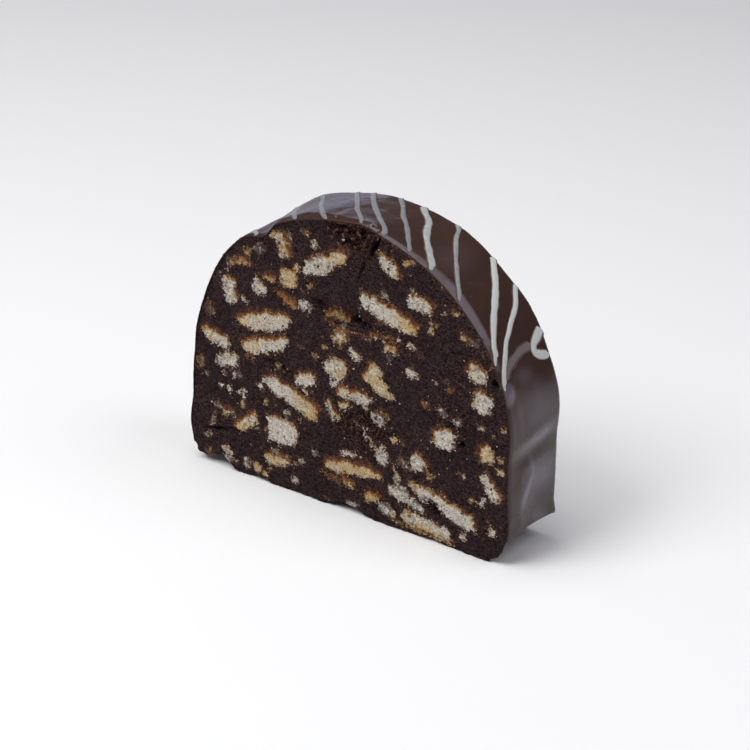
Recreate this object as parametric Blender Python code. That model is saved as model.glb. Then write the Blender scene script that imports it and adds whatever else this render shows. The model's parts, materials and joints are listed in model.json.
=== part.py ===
"""A slice of icebox cake: broken biscuits in dark chocolate, under a chocolate coating with white drizzle.

The slice is cut from a tunnel-shaped log and stands on its base. X runs across the cut, Y through the
slice from the front cut to the back cut, and Z is up. The origin is the middle of the base. Sizes are in
millimetres until a mesh is made. A place on the coating is given by its arc, the distance along the cut's
outline from the apex, positive towards +X, and by its depth behind the front cut.
"""

import math
import random
from dataclasses import dataclass, replace
from enum import Enum
from itertools import pairwise

import bmesh
import bpy
import numpy as np
from mathutils import Vector, noise

MM = 0.001

# The cut's outline
HALF_WIDTH = 50.0
HEIGHT = 79.4
THICKNESS = 21.7
WALL_TOP = 34.8
ACROSS_POWER = 2.0
UP_POWER = 1.78
ARCH_STEPS = 400

# The coating and the gap between touching pieces
COATING = 1.0
FOOT_THINNING = 0.2
GAP = 0.3
DENT_ROOM = 0.26
BACK_LIP = 0.8
LEFT_FOOT_FRONT = 4.4
LEFT_FOOT_BACK = 5.6
RIGHT_FOOT_FRONT = 7.3
RIGHT_FOOT_BACK = 6.9

# How finely the solids are divided
ARC_SPANS = 38
DEPTH_STATIONS = (0.0, 4.6, 10.2, 16.0, THICKNESS)
FACE_RINGS = (0.3, 0.68)
BASE_SPANS = 16
SHARD_SIDES = 10
DRIZZLE_SIDES = 6
SPLINE_PARTS = 12

# The coating's rounded cut edges: the front edge is widest on the right shoulder
LIP_WIDTH = 0.9
LIP_EXTRA = 1.7
LIP_ARC = 36.0
LIP_REACH = 26.0
LIP_MIDWAY = 0.4
LIP_DROP = 0.7
LIP_CURVE = 1.5

# The relief of the cut faces, and their middle as a share of the height
FACE_SINK = 0.25
FACE_RELIEF = 0.25
FACE_GRAIN = 9.0
FACE_MIDDLE = 0.42

# The drizzle's height over the coating and its root in it
DRIZZLE_HEIGHT = 0.5
DRIZZLE_ROOT = 0.35
DRIZZLE_END = 0.05
SHARP_ANGLE = 50.0

# The outline of a broken biscuit: its chips, its turn and the share of its size at its hidden end
CHIP_LEAST = 0.92
CHIP_MOST = 1.08
TURN_PLAY = 0.2
BEND_MIDDLE = 0.4
TAIL_SIZE = 0.8
MARK_TAIL = 0.55
MITRE_LEAST = 0.5

# How a biscuit lies in its pocket
SHARD_CHIP = 0.4
SHARD_PROUD = 0.15
SHARD_LEAST_DEPTH = 0.02
CUT_PAST = 2.0
POCKET_SLACK = 0.1

# How a biscuit that passes through is moved, turned and shortened at the back cut
THROUGH_ACROSS = 0.8
THROUGH_UP = 0.5
THROUGH_TURN = -5.0
THROUGH_LENGTH = 0.93

# Broken biscuits on the back cut: their sizes, the draw of their places, and how far apart they stay
BACK_SEED = 11
BACK_SIZES = (
    (13.5, 4.6), (9.0, 5.4), (12.0, 4.2), (8.0, 6.4), (7.4, 4.2), (7.0, 5.2),
    (9.2, 3.2), (6.4, 4.0), (5.6, 4.4), (5.2, 3.0), (4.6, 3.4), (4.4, 2.6),
)
BACK_TRIES = 3000
BACK_ACROSS = (-46.0, 46.0)
BACK_UP = (4.0, 74.0)
BACK_TILT = (5.0, 28.0)
BACK_REACH_SHARE = 0.35
BACK_REACH_LEAST = 2.5
CORE_SHARES = (-1.0, -0.5, 0.0, 0.5, 1.0)
CORE_PLAY = 1.1
SHARD_CLEARANCE = 1.1
SKIN_CLEARANCE = 1.0
BASE_CLEARANCE = 1.2
CORNER_ACROSS = 36.0
CORNER_UP = 12.0


@dataclass(frozen=True)
class Swell:
    """A rise, or a dip where its height is negative, in the coating and in the chocolate under it."""

    arc: float
    depth: float
    arc_reach: float
    depth_reach: float
    height: float


@dataclass(frozen=True)
class Wave:
    """A slow wave over the coating."""

    height: float
    arc_length: float
    depth_length: float
    start: float


WAVES = (
    Wave(height=0.16, arc_length=7.3, depth_length=6.1, start=1.1),
    Wave(height=0.12, arc_length=3.7, depth_length=-5.0, start=0.0),
)

SWELLS = (
    Swell(arc=-63.0, depth=0.0, arc_reach=17.0, depth_reach=32.0, height=-0.9),
    Swell(arc=-29.6, depth=0.0, arc_reach=6.2, depth_reach=9.0, height=-1.9),
    Swell(arc=-97.5, depth=2.0, arc_reach=9.0, depth_reach=14.0, height=1.3),
    Swell(arc=-88.0, depth=16.0, arc_reach=9.0, depth_reach=9.0, height=0.7),
    Swell(arc=4.5, depth=0.0, arc_reach=6.0, depth_reach=6.0, height=0.5),
    Swell(arc=62.0, depth=1.0, arc_reach=3.6, depth_reach=4.0, height=0.4),
    Swell(arc=79.0, depth=10.0, arc_reach=4.5, depth_reach=16.0, height=-0.5),
    Swell(arc=86.0, depth=6.0, arc_reach=6.0, depth_reach=12.0, height=0.5),
    Swell(arc=97.0, depth=3.0, arc_reach=7.0, depth_reach=9.0, height=0.5),
    Swell(arc=101.5, depth=21.7, arc_reach=4.5, depth_reach=12.0, height=0.7),
)


class Form(Enum):
    """How square a broken biscuit is: the power of its rounded outline."""

    PEBBLE = 2.2
    SHARD = 3.0
    BLOCK = 3.8


class Bake(Enum):
    """How far a biscuit is baked."""

    PALE = "biscuit_pale"
    GOLDEN = "biscuit_golden"
    TOASTED = "biscuit_toasted"


@dataclass(frozen=True)
class Shard:
    """A broken biscuit at a cut: its middle, its size, its tilt in degrees and how deep it reaches."""

    x: float
    z: float
    length: float
    width: float
    tilt: float
    form: Form = Form.SHARD
    bake: Bake = Bake.PALE
    reach: float = 7.0
    taper: float = 0.0
    bend: float = 0.0
    lean: float = 0.0
    recess: float = 0.0
    through: bool = False


FRONT_SHARDS = (
    Shard(-20.5, 67.9, 6.8, 4.3, -72, Form.PEBBLE, Bake.GOLDEN, reach=6),
    Shard(-7.0, 66.6, 15.4, 4.5, 31, taper=-0.1, reach=8),
    Shard(-34.7, 60.0, 7.2, 2.3, 17, bake=Bake.TOASTED, bend=-0.5, reach=4),
    Shard(-18.3, 59.6, 5.2, 5.2, 4, Form.BLOCK, Bake.GOLDEN, reach=6),
    Shard(-37.6, 51.5, 7.2, 3.9, 95, reach=6),
    Shard(-28.3, 54.5, 4.6, 3.7, -38, Form.PEBBLE, reach=4),
    Shard(-24.9, 57.9, 4.0, 1.9, 5, bake=Bake.GOLDEN, reach=3),
    Shard(-19.2, 53.5, 7.2, 2.0, -22, bake=Bake.TOASTED, reach=5),
    Shard(-13.6, 53.3, 3.2, 3.3, 0, Form.PEBBLE, reach=3),
    Shard(-25.8, 45.8, 17.4, 4.9, 15, through=True, taper=0.08),
    Shard(-26.2, 39.1, 15.8, 4.3, 17, reach=8, bend=0.5),
    Shard(-42.3, 37.1, 9.2, 4.1, -12, reach=7),
    Shard(-38.5, 31.2, 7.6, 3.8, 10, reach=6),
    Shard(-12.9, 33.0, 6.8, 4.0, 14, reach=5),
    Shard(-16.9, 26.9, 19.2, 5.0, -19, bake=Bake.GOLDEN, through=True, taper=0.12),
    Shard(-20.2, 16.3, 10.0, 7.4, 4, Form.BLOCK, through=True, taper=-0.08),
    Shard(-32.1, 15.1, 8.6, 3.8, 42, bake=Bake.GOLDEN, reach=7),
    Shard(-38.3, 16.6, 4.2, 2.2, 0, bake=Bake.GOLDEN, reach=3),
    Shard(-22.2, 7.3, 7.6, 3.8, 5, bake=Bake.GOLDEN, reach=6),
    Shard(-38.6, 5.2, 4.2, 2.0, -25, Form.PEBBLE, reach=3),
    Shard(2.8, 12.4, 17.4, 3.6, 5, bake=Bake.GOLDEN, through=True, bend=-0.3),
    Shard(-4.7, 27.2, 4.6, 2.4, -62, reach=3),
    Shard(-3.3, 38.8, 7.2, 6.0, 10, Form.PEBBLE, reach=8),
    Shard(-2.4, 47.5, 5.4, 3.3, 22, bake=Bake.GOLDEN, reach=4),
    Shard(-3.2, 53.3, 7.0, 3.2, -6, bake=Bake.TOASTED, reach=5, recess=1.0),
    Shard(12.8, 70.4, 7.2, 3.6, -42, reach=5),
    Shard(22.1, 63.0, 7.6, 4.2, -8, reach=6),
    Shard(13.0, 57.8, 19.0, 4.9, -15, through=True, bend=-0.4),
    Shard(39.2, 49.3, 6.2, 5.2, -25, Form.PEBBLE, reach=6),
    Shard(41.0, 42.2, 6.4, 5.4, 70, reach=6),
    Shard(13.6, 48.9, 4.4, 2.8, 0, bake=Bake.GOLDEN, reach=4),
    Shard(2.5, 44.3, 4.2, 2.6, -40, reach=3),
    Shard(20.1, 44.2, 3.4, 2.9, 0, Form.PEBBLE, reach=3),
    Shard(9.7, 39.6, 6.6, 7.2, 71, Form.BLOCK, Bake.GOLDEN, through=True, taper=-0.62, lean=1.7),
    Shard(2.5, 33.0, 10.4, 3.7, -2, bake=Bake.GOLDEN, reach=7),
    Shard(30.3, 29.2, 7.0, 5.6, 5, Form.PEBBLE, through=True),
    Shard(42.9, 28.9, 4.2, 4.8, 0, bake=Bake.GOLDEN, reach=5),
    Shard(22.8, 20.6, 4.3, 4.4, 60, Form.BLOCK, reach=5),
    Shard(44.4, 20.2, 8.0, 3.6, -48, reach=7),
    Shard(11.4, 18.8, 4.6, 3.8, -60, reach=4),
    Shard(31.6, 10.6, 20.2, 4.5, -17, through=True, taper=0.05),
    Shard(18.6, 9.6, 8.8, 3.5, -14, reach=5),
    Shard(26.8, 3.7, 14.4, 4.0, -8, bake=Bake.GOLDEN, reach=8),
    Shard(14.2, 4.0, 4.8, 2.4, -25, Form.PEBBLE, reach=3),
    Shard(9.1, 6.6, 5.4, 3.4, 15, Form.PEBBLE, Bake.GOLDEN, reach=4),
    Shard(1.2, 8.3, 4.6, 2.8, -15, Form.PEBBLE, Bake.TOASTED, reach=4),
)


@dataclass(frozen=True)
class Drizzle:
    """A line of white chocolate over the coating: its width, its way in places of arc and depth, its step."""

    width: float
    way: tuple
    step: float = 4.6


DRIZZLES = (
    Drizzle(1.4, ((-59.6, 0.5), (-58.5, 3.0), (-56.5, 5.2), (-54.4, 4.6), (-53.4, 2.4), (-53.0, 0.5)), 2.0),
    Drizzle(1.5, ((-68.0, 21.2), (-58.0, 12.5), (-51.0, 6.0), (-44.5, 0.5))),
    Drizzle(1.4, ((-57.0, 21.2), (-48.0, 14.0), (-39.0, 6.6), (-31.8, 0.5))),
    Drizzle(1.6, ((-36.5, 21.2), (-30.0, 15.4), (-23.0, 6.9), (-16.8, 0.5))),
    Drizzle(1.4, ((-25.0, 21.2), (-21.2, 17.2), (-16.5, 10.4), (-10.5, 3.3), (-7.0, 0.5))),
    Drizzle(1.4, ((-13.4, 21.2), (-4.8, 10.3), (1.0, 3.8), (4.2, 0.5))),
    Drizzle(1.4, ((-8.2, 21.2), (-2.8, 14.4), (2.0, 9.3), (6.0, 5.4), (9.2, 2.6), (10.8, 0.5))),
    Drizzle(1.3, ((0.4, 21.2), (4.0, 17.4), (7.5, 12.8), (10.8, 9.5), (14.8, 5.0), (19.0, 0.6))),
    Drizzle(1.8, ((7.9, 21.2), (13.0, 16.9), (14.8, 12.9), (17.5, 9.6), (21.0, 5.9), (26.2, 0.6))),
    Drizzle(1.3, ((18.2, 21.2), (19.8, 19.7), (21.8, 16.0), (28.2, 8.3), (33.8, 2.8), (36.4, 0.9))),
    Drizzle(1.7, ((30.2, 21.2), (36.8, 15.0), (41.0, 10.4), (45.0, 6.3), (49.5, 2.4), (54.0, 0.6))),
    Drizzle(1.4, ((39.4, 21.2), (44.0, 16.4), (50.5, 7.2), (55.5, 2.6), (58.2, 1.1), (60.6, 0.6))),
    Drizzle(1.5, ((51.4, 21.2), (52.8, 19.0), (54.2, 16.8), (56.0, 16.0), (57.3, 17.6), (58.1, 21.2)), 2.0),
)


@dataclass(frozen=True)
class Hollow:
    """A shallow arch in the base, where the slice stands clear of its plate."""

    x: float
    reach: float
    height: float


HOLLOWS = (
    Hollow(x=-41.2, reach=7.0, height=3.0),
    Hollow(x=-28.0, reach=6.0, height=0.9),
    Hollow(x=1.0, reach=8.5, height=1.8),
    Hollow(x=27.0, reach=5.0, height=0.7),
)
HOLLOW_FADE = 0.5

# The bare corners under the coating's feet: across and up, from the foot down to the base
RIGHT_CORNER_FRONT = ((49.2, 6.2), (48.7, 3.8), (47.4, 2.0), (45.4, 0.9))
RIGHT_CORNER_INSIDE = ((47.2, 5.5), (45.0, 3.4), (43.0, 1.6), (41.6, 0.4))
LEFT_CORNER_FRONT = ((-49.0, 3.4), (-48.7, 2.5), (-48.0, 2.0), (-47.0, 1.8))
LEFT_CORNER_INSIDE = ((-48.0, 4.4), (-47.0, 3.2), (-45.9, 2.2), (-44.6, 1.5))
CORNER_DEPTH = 5.0

# The hole, the crease and the crevice that show in the front cut
AIR_HOLE = Shard(45.4, 48.4, 1.3, 1.3, 0, Form.PEBBLE, reach=2.6)
CREASE = Shard(6.2, 73.6, 8.4, 0.8, 66, Form.PEBBLE, reach=1.4)
CREVICE = Shard(-0.6, 53.8, 16.0, 5.0, -3, Form.PEBBLE, reach=1.4)


def bump(distance):
    """A smooth rise from 0 at a distance of 1 or more to 1 at a distance of 0."""
    return 0.5 + 0.5 * math.cos(math.pi * min(1.0, abs(distance)))


def blend(start, end, share):
    """The value a share of the way from start to end."""
    return start + (end - start) * share


class Outline:
    """The cut's outline: straight walls under a rounded arch, read by the arc from its apex."""

    def __init__(self):
        turn = np.linspace(math.pi / 2, 0.0, ARCH_STEPS)
        rise = HEIGHT - WALL_TOP
        self.across = np.append(HALF_WIDTH * np.abs(np.cos(turn)) ** (2 / ACROSS_POWER), HALF_WIDTH)
        self.up = np.append(WALL_TOP + rise * np.abs(np.sin(turn)) ** (2 / UP_POWER), 0.0)
        steps = np.hypot(np.diff(self.across), np.diff(self.up))
        self.arc = np.append(0.0, np.cumsum(steps))

    def place(self, arc):
        """The place across and up of a point on the outline."""
        across = np.interp(abs(arc), self.arc, self.across)
        return Vector((math.copysign(across, arc), np.interp(abs(arc), self.arc, self.up)))

    def outward(self, arc):
        """The direction that points out of the cake."""
        along = (self.place(arc + 0.5) - self.place(arc - 0.5)).normalized()
        return Vector((-along.y, along.x))

    def arc_of_height(self, height):
        """The arc at which a wall stands at a height."""
        return self.arc[-1] - height


OUTLINE = Outline()


def swell(arc, depth):
    """How far the coating's surface stands out of the even outline."""
    height = 0.0
    for wave in WAVES:
        height += wave.height * math.sin(arc / wave.arc_length + depth / wave.depth_length + wave.start)
    for lump in SWELLS:
        across = bump((arc - lump.arc) / lump.arc_reach)
        height += lump.height * across * bump((depth - lump.depth) / lump.depth_reach)
    return height


def skin(arc, depth, lift=0.0):
    """A point over the coating's surface, by its lift."""
    flat = OUTLINE.place(arc) + OUTLINE.outward(arc) * (swell(arc, depth) + lift)
    return Vector((flat.x, depth - THICKNESS / 2, flat.y))


def arc_at(share, depth):
    """The arc at a share of the way from the coating's left foot to its right foot."""
    through = depth / THICKNESS
    left = -OUTLINE.arc_of_height(blend(LEFT_FOOT_FRONT, LEFT_FOOT_BACK, through))
    right = OUTLINE.arc_of_height(blend(RIGHT_FOOT_FRONT, RIGHT_FOOT_BACK, through))
    return blend(left, right, share)


def front_lip(arc):
    """How wide the coating's front edge is rounded off."""
    return LIP_WIDTH + LIP_EXTRA * bump((arc - LIP_ARC) / LIP_REACH)


def lip_drop(arc, depth):
    """How far the coating's surface falls towards its cut edges."""
    front = max(0.0, 1 - depth / front_lip(arc))
    back = max(0.0, 1 - (THICKNESS - depth) / BACK_LIP)
    return LIP_DROP * COATING * max(front, back) ** LIP_CURVE


def face_depth(x, z):
    """How deep the uneven cut face lies behind the foremost point."""
    return FACE_SINK + FACE_RELIEF * noise.noise(Vector((x / FACE_GRAIN, 0.0, z / FACE_GRAIN)))


def proud_depth(x, z):
    """How deep a biscuit's face lies there: a little proud of the chocolate round it."""
    return max(SHARD_LEAST_DEPTH, face_depth(x, z) - SHARD_PROUD)


def back_place(x, z):
    """The place that gives the back cut its own relief."""
    return -x, z + HEIGHT


def base_height(x, depth):
    """How high the base stands over the plate."""
    rise = sum(hollow.height * bump((x - hollow.x) / hollow.reach) for hollow in HOLLOWS)
    return rise * (1 - HOLLOW_FADE * depth / THICKNESS)


def material(name, colour, roughness):
    """A plain finish."""
    finish = bpy.data.materials.new(name)
    finish.use_nodes = True
    shader = finish.node_tree.nodes["Principled BSDF"]
    shader.inputs["Base Color"].default_value = (*colour, 1.0)
    shader.inputs["Roughness"].default_value = roughness
    shader.inputs["Metallic"].default_value = 0.0
    finish.diffuse_color = (*colour, 1.0)
    return finish


def loft(name, rings, finish):
    """A closed solid through rings of points, capped at both ends."""
    mesh = bmesh.new()
    rows = [[mesh.verts.new(point * MM) for point in ring] for ring in rings]
    for row, following in pairwise(rows):
        for corner in range(len(row)):
            mesh.faces.new((row[corner - 1], row[corner], following[corner], following[corner - 1]))
    caps = [mesh.faces.new(rows[0]), mesh.faces.new(rows[-1])]
    bmesh.ops.triangulate(mesh, faces=caps)
    bmesh.ops.recalc_face_normals(mesh, faces=mesh.faces)
    data = bpy.data.meshes.new(name)
    mesh.to_mesh(data)
    mesh.free()
    data.materials.append(finish)
    solid = bpy.data.objects.new(name, data)
    bpy.context.scene.collection.objects.link(solid)
    return solid


def boolean(solid, tools, operation):
    """Cuts or joins the tools of a collection."""
    step = solid.modifiers.new(operation.title(), "BOOLEAN")
    step.operation = operation
    step.operand_type = "COLLECTION"
    step.collection = tools
    step.material_mode = "TRANSFER"
    return step


def coating_section(arc, thinning):
    """The coating's section through the slice: depth and lift, out over the top and back below."""
    lip = front_lip(arc)
    outer = [0.0, LIP_MIDWAY * lip, lip, *DEPTH_STATIONS[1:-1]]
    outer += [THICKNESS - BACK_LIP, THICKNESS - LIP_MIDWAY * BACK_LIP, THICKNESS]
    top = [(depth, -lip_drop(arc, depth) - thinning) for depth in outer]
    return top + [(depth, -COATING) for depth in reversed(DEPTH_STATIONS)]


def coating_rings():
    """Sections of the coating from its left foot to its right foot, thinner at both feet."""
    rings = []
    for station in range(ARC_SPANS + 1):
        share = station / ARC_SPANS
        thinning = FOOT_THINNING * COATING * bump(min(share, 1 - share) * ARC_SPANS / 2)
        section = coating_section(arc_at(share, 0.0), thinning)
        rings.append([skin(arc_at(share, depth), depth, lift) for depth, lift in section])
    return rings


def spline(places, step):
    """Points at an even step along a smooth curve through places."""
    places = np.array(places)
    ends = np.vstack([2 * places[0] - places[1], places, 2 * places[-1] - places[-2]])
    curve = []
    for index in range(1, len(ends) - 2):
        before, start, end, after = ends[index - 1 : index + 3]
        for share in np.linspace(0.0, 1.0, SPLINE_PARTS, endpoint=False):
            curve.append(
                0.5 * (2 * start + (end - before) * share
                       + (2 * before - 5 * start + 4 * end - after) * share**2
                       + (3 * start - before - 3 * end + after) * share**3)
            )
    curve = np.array([*curve, places[-1]])
    lengths = np.append(0.0, np.cumsum(np.hypot(*np.diff(curve, axis=0).T)))
    marks = np.linspace(0.0, lengths[-1], max(2, round(lengths[-1] / step)) + 1)
    return list(zip(np.interp(marks, lengths, curve[:, 0]), np.interp(marks, lengths, curve[:, 1]), strict=True))


def on_coating(arc, depth):
    """A point on the coating as it is divided, between the nearest points of its surface."""
    left = arc_at(0.0, depth)
    station = (arc - left) / (arc_at(1.0, depth) - left) * ARC_SPANS
    across = min(int(station), ARC_SPANS - 1)
    row = max(index for index, place in enumerate(DEPTH_STATIONS[:-1]) if place <= depth)
    near, far = DEPTH_STATIONS[row : row + 2]
    edges = []
    for place in (near, far):
        pair = [skin(arc_at(edge / ARC_SPANS, place), place) for edge in (across, across + 1)]
        edges.append(blend(*pair, station - across))
    flat = OUTLINE.outward(arc) * lip_drop(arc, depth)
    return blend(*edges, (depth - near) / (far - near)) - Vector((flat.x, 0.0, flat.y))


def drizzle_rings(drizzle):
    """Rounded sections of a drizzle line that follows the coating."""
    way = spline(drizzle.way, drizzle.step)
    middle = [on_coating(arc, depth) for arc, depth in way]
    cut = THICKNESS / 2 - DRIZZLE_END
    rings = []
    for index, (arc, _) in enumerate(way):
        along = (middle[min(index + 1, len(way) - 1)] - middle[max(index - 1, 0)]).normalized()
        flat = OUTLINE.outward(arc)
        outward = Vector((flat.x, 0.0, flat.y))
        aside = along.cross(outward).normalized()
        ring = []
        for corner in range(DRIZZLE_SIDES):
            turn = 2 * math.pi * corner / DRIZZLE_SIDES
            rise = math.sin(turn)
            lift = rise * (DRIZZLE_HEIGHT if rise > 0 else DRIZZLE_ROOT)
            point = middle[index] + aside * (math.cos(turn) * drizzle.width / 2) + outward * lift
            point.y = max(-cut, min(cut, point.y))
            ring.append(point)
        rings.append(ring)
    return rings


def make_coating(dark, white):
    """The chocolate coating over the arch, with the white drizzle fused on."""
    coating = loft("coating", coating_rings(), dark)
    lines = bpy.data.collections.new("drizzle")
    bpy.context.scene.collection.children.link(lines)
    for number, drizzle in enumerate(DRIZZLES, 1):
        line = loft(f"drizzle_{number:02}", drizzle_rings(drizzle), white)
        bpy.context.scene.collection.objects.unlink(line)
        lines.objects.link(line)
    union = boolean(coating, lines, "UNION")
    bpy.context.view_layer.objects.active = coating
    bpy.ops.object.modifier_apply(modifier=union.name)
    for line in list(lines.objects):
        bpy.data.objects.remove(line)
    bpy.data.collections.remove(lines)
    coating.data.shade_smooth()
    coating.data.set_sharp_from_angle(angle=math.radians(SHARP_ANGLE))
    return coating


def corner_points(front, inside, depth):
    """The bare corner under a foot of the coating, which draws in behind the front cut."""
    share = 1 - bump(depth / CORNER_DEPTH)
    points = []
    for (front_x, front_z), (inside_x, inside_z) in zip(front, inside, strict=True):
        points.append(Vector((
            blend(front_x, inside_x, share), depth - THICKNESS / 2, blend(front_z, inside_z, share),
        )))
    return points


def body_outline(depth):
    """The outline of the chocolate inside the coating, down both corners and along the base."""
    points = []
    for station in range(ARC_SPANS + 1):
        arc = arc_at(station / ARC_SPANS, depth)
        points.append(skin(arc, depth, DENT_ROOM * min(0.0, swell(arc, depth)) - COATING - GAP))
    y = depth - THICKNESS / 2
    right = corner_points(RIGHT_CORNER_FRONT, RIGHT_CORNER_INSIDE, depth)
    left = corner_points(LEFT_CORNER_FRONT, LEFT_CORNER_INSIDE, depth)
    base = []
    for station in range(1, BASE_SPANS):
        x = blend(right[-1].x, left[-1].x, station / BASE_SPANS)
        base.append(Vector((x, y, base_height(x, depth))))
    return points + right + base + left[::-1]


def face_rings(edge, back):
    """Rings from the middle of a cut face out to its edge, with the cut's relief."""
    centre = Vector((0.0, 0.0, FACE_MIDDLE * HEIGHT))
    rings = []
    for share in FACE_RINGS:
        ring = []
        for point in edge:
            x = blend(centre.x, point.x, share)
            z = blend(centre.z, point.z, share)
            depth = THICKNESS - face_depth(*back_place(x, z)) if back else face_depth(x, z)
            ring.append(Vector((x, depth - THICKNESS / 2, z)))
        rings.append(ring)
    return rings


def body_rings():
    """Rings over the whole chocolate body, from the front cut round the sides to the back cut."""
    sides = [body_outline(depth) for depth in DEPTH_STATIONS]
    return face_rings(sides[0], False) + sides + face_rings(sides[-1], True)[::-1]


def shard_outline(shard, seed, size=1.0):
    """The uneven outline of a broken biscuit, as places across and up."""
    draw = random.Random(seed)
    power = 2 / shard.form.value
    tilt = math.radians(shard.tilt)
    turn_start = draw.uniform(-TURN_PLAY, TURN_PLAY)
    outline = []
    for side in range(SHARD_SIDES):
        turn = turn_start + 2 * math.pi * side / SHARD_SIDES
        chip = size * draw.uniform(CHIP_LEAST, CHIP_MOST)
        along = math.copysign(abs(math.cos(turn)) ** power, math.cos(turn))
        aside = math.copysign(abs(math.sin(turn)) ** power, math.sin(turn))
        reach = along * chip * shard.length / 2
        rise = aside * chip * (1 + shard.taper * along) * shard.width / 2
        rise += shard.bend * (along**2 - BEND_MIDDLE) + shard.lean * along
        outline.append(Vector((
            shard.x + reach * math.cos(tilt) - rise * math.sin(tilt),
            shard.z + reach * math.sin(tilt) + rise * math.cos(tilt),
        )))
    return outline


def grown(outline, distance):
    """An outline moved outward by a distance."""
    moved = []
    for index, point in enumerate(outline):
        before = (point - outline[index - 1]).normalized()
        after = (outline[(index + 1) % len(outline)] - point).normalized()
        outward = Vector((before.y + after.y, -before.x - after.x)).normalized()
        stretch = max(MITRE_LEAST, outward.dot(Vector((before.y, -before.x))))
        moved.append(point + outward * (distance / stretch))
    return moved


def ring_at(outline, depth):
    """An outline set at a depth behind the front cut."""
    return [Vector((point.x, depth - THICKNESS / 2, point.y)) for point in outline]


def turned(shard):
    """The same biscuit where it comes out of the back cut, a little turned and moved."""
    return replace(
        shard, x=shard.x + THROUGH_ACROSS, z=shard.z + THROUGH_UP, tilt=shard.tilt + THROUGH_TURN,
        length=THROUGH_LENGTH * shard.length, bend=-shard.bend,
    )


@dataclass(frozen=True)
class Inlay:
    """A biscuit's outlines at its near and far ends, with their depths from the near cut."""

    near: list
    far: list
    near_depth: float
    far_depth: float
    through: bool

    def solid_rings(self, depth_of):
        """Rings of the biscuit itself, chipped round the ends that show."""
        near_tip = grown(self.near, -SHARD_CHIP / 2)
        rings = [ring_at(near_tip, depth_of(self.near_depth))]
        rings.append(ring_at(self.near, depth_of(self.near_depth + SHARD_CHIP)))
        if self.through:
            rings.append(ring_at(self.far, depth_of(self.far_depth - SHARD_CHIP)))
            far_tip = grown(self.far, -SHARD_CHIP / 2)
            rings.append(ring_at(far_tip, depth_of(self.far_depth)))
        else:
            rings.append(ring_at(self.far, depth_of(self.far_depth)))
        return rings

    def pocket_rings(self, depth_of):
        """Rings of the pocket that holds the biscuit, with the gap all round it."""
        gap = GAP + POCKET_SLACK if self.through else GAP
        near = grown(self.near, gap)
        far = grown(self.far, gap)
        if self.through:
            return [ring_at(near, depth_of(-CUT_PAST)), ring_at(far, depth_of(THICKNESS + CUT_PAST))]
        return [
            ring_at(near, depth_of(-CUT_PAST)),
            ring_at(near, depth_of(self.near_depth + SHARD_CHIP)),
            ring_at(far, depth_of(self.far_depth + GAP)),
        ]


def front_inlay(shard, seed):
    """The inlay of a biscuit that shows at the front cut."""
    near_depth = proud_depth(shard.x, shard.z) + shard.recess
    near = shard_outline(shard, seed)
    if shard.through:
        out = turned(shard)
        far_depth = THICKNESS - proud_depth(*back_place(out.x, out.z))
        return Inlay(near, shard_outline(out, seed), near_depth, far_depth, True)
    return Inlay(near, shard_outline(shard, seed, TAIL_SIZE), near_depth, near_depth + shard.reach, False)


def back_inlay(shard, seed):
    """The inlay of a biscuit that shows at the back cut alone, measured from that cut."""
    near_depth = proud_depth(*back_place(shard.x, shard.z))
    near = shard_outline(shard, seed)
    return Inlay(near, shard_outline(shard, seed, TAIL_SIZE), near_depth, near_depth + shard.reach, False)


def core(shard):
    """The middle line of a biscuit and its half width, for telling how near two biscuits come."""
    half = max(0.0, (shard.length - shard.width) / 2)
    along = Vector((math.cos(math.radians(shard.tilt)), math.sin(math.radians(shard.tilt)))) * half
    middle = Vector((shard.x, shard.z))
    places = [middle + along * share for share in CORE_SHARES]
    return places, CORE_PLAY * min(shard.length, shard.width) / 2


def clear_of(shard, others):
    """Whether a biscuit keeps its distance from others."""
    places, half = core(shard)
    for other in others:
        other_places, other_half = core(other)
        nearest = min((a - b).length for a in places for b in other_places)
        if nearest < half + other_half + SHARD_CLEARANCE:
            return False
    return True


def inside_body(shard):
    """Whether a biscuit stays under the coating and over the base."""
    places, half = core(shard)
    margin = COATING + GAP + SKIN_CLEARANCE + half
    for place in places:
        across = abs(place.x) / (HALF_WIDTH - margin)
        up = max(0.0, place.y - WALL_TOP) / (HEIGHT - WALL_TOP - margin)
        if across**ACROSS_POWER + up**UP_POWER > 1:
            return False
        if place.y - half < BASE_CLEARANCE + base_height(place.x, THICKNESS):
            return False
        if abs(place.x) > CORNER_ACROSS and place.y < CORNER_UP:
            return False
    return True


def back_shards():
    """Biscuits that show at the back cut alone, the largest placed first and clear of the through ones."""
    draw = random.Random(BACK_SEED)
    through = [shard for shard in FRONT_SHARDS if shard.through]
    taken = through + [turned(shard) for shard in through]
    placed = []
    for length, width in BACK_SIZES:
        for _ in range(BACK_TRIES):
            shard = Shard(
                x=draw.uniform(*BACK_ACROSS), z=draw.uniform(*BACK_UP), length=length, width=width,
                tilt=draw.gauss(*BACK_TILT), bake=draw.choice((Bake.PALE, Bake.GOLDEN)),
                reach=BACK_REACH_SHARE * length + BACK_REACH_LEAST, form=draw.choice(list(Form)),
            )
            if inside_body(shard) and clear_of(shard, taken + placed):
                placed.append(shard)
                break
    return placed


def cutter(name, rings, finish, tools):
    """A hidden solid that cuts the body."""
    tool = loft(name, rings, finish)
    tool.hide_render = True
    tool.display_type = "WIRE"
    bpy.context.scene.collection.objects.unlink(tool)
    tools.objects.link(tool)
    return tool


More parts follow.
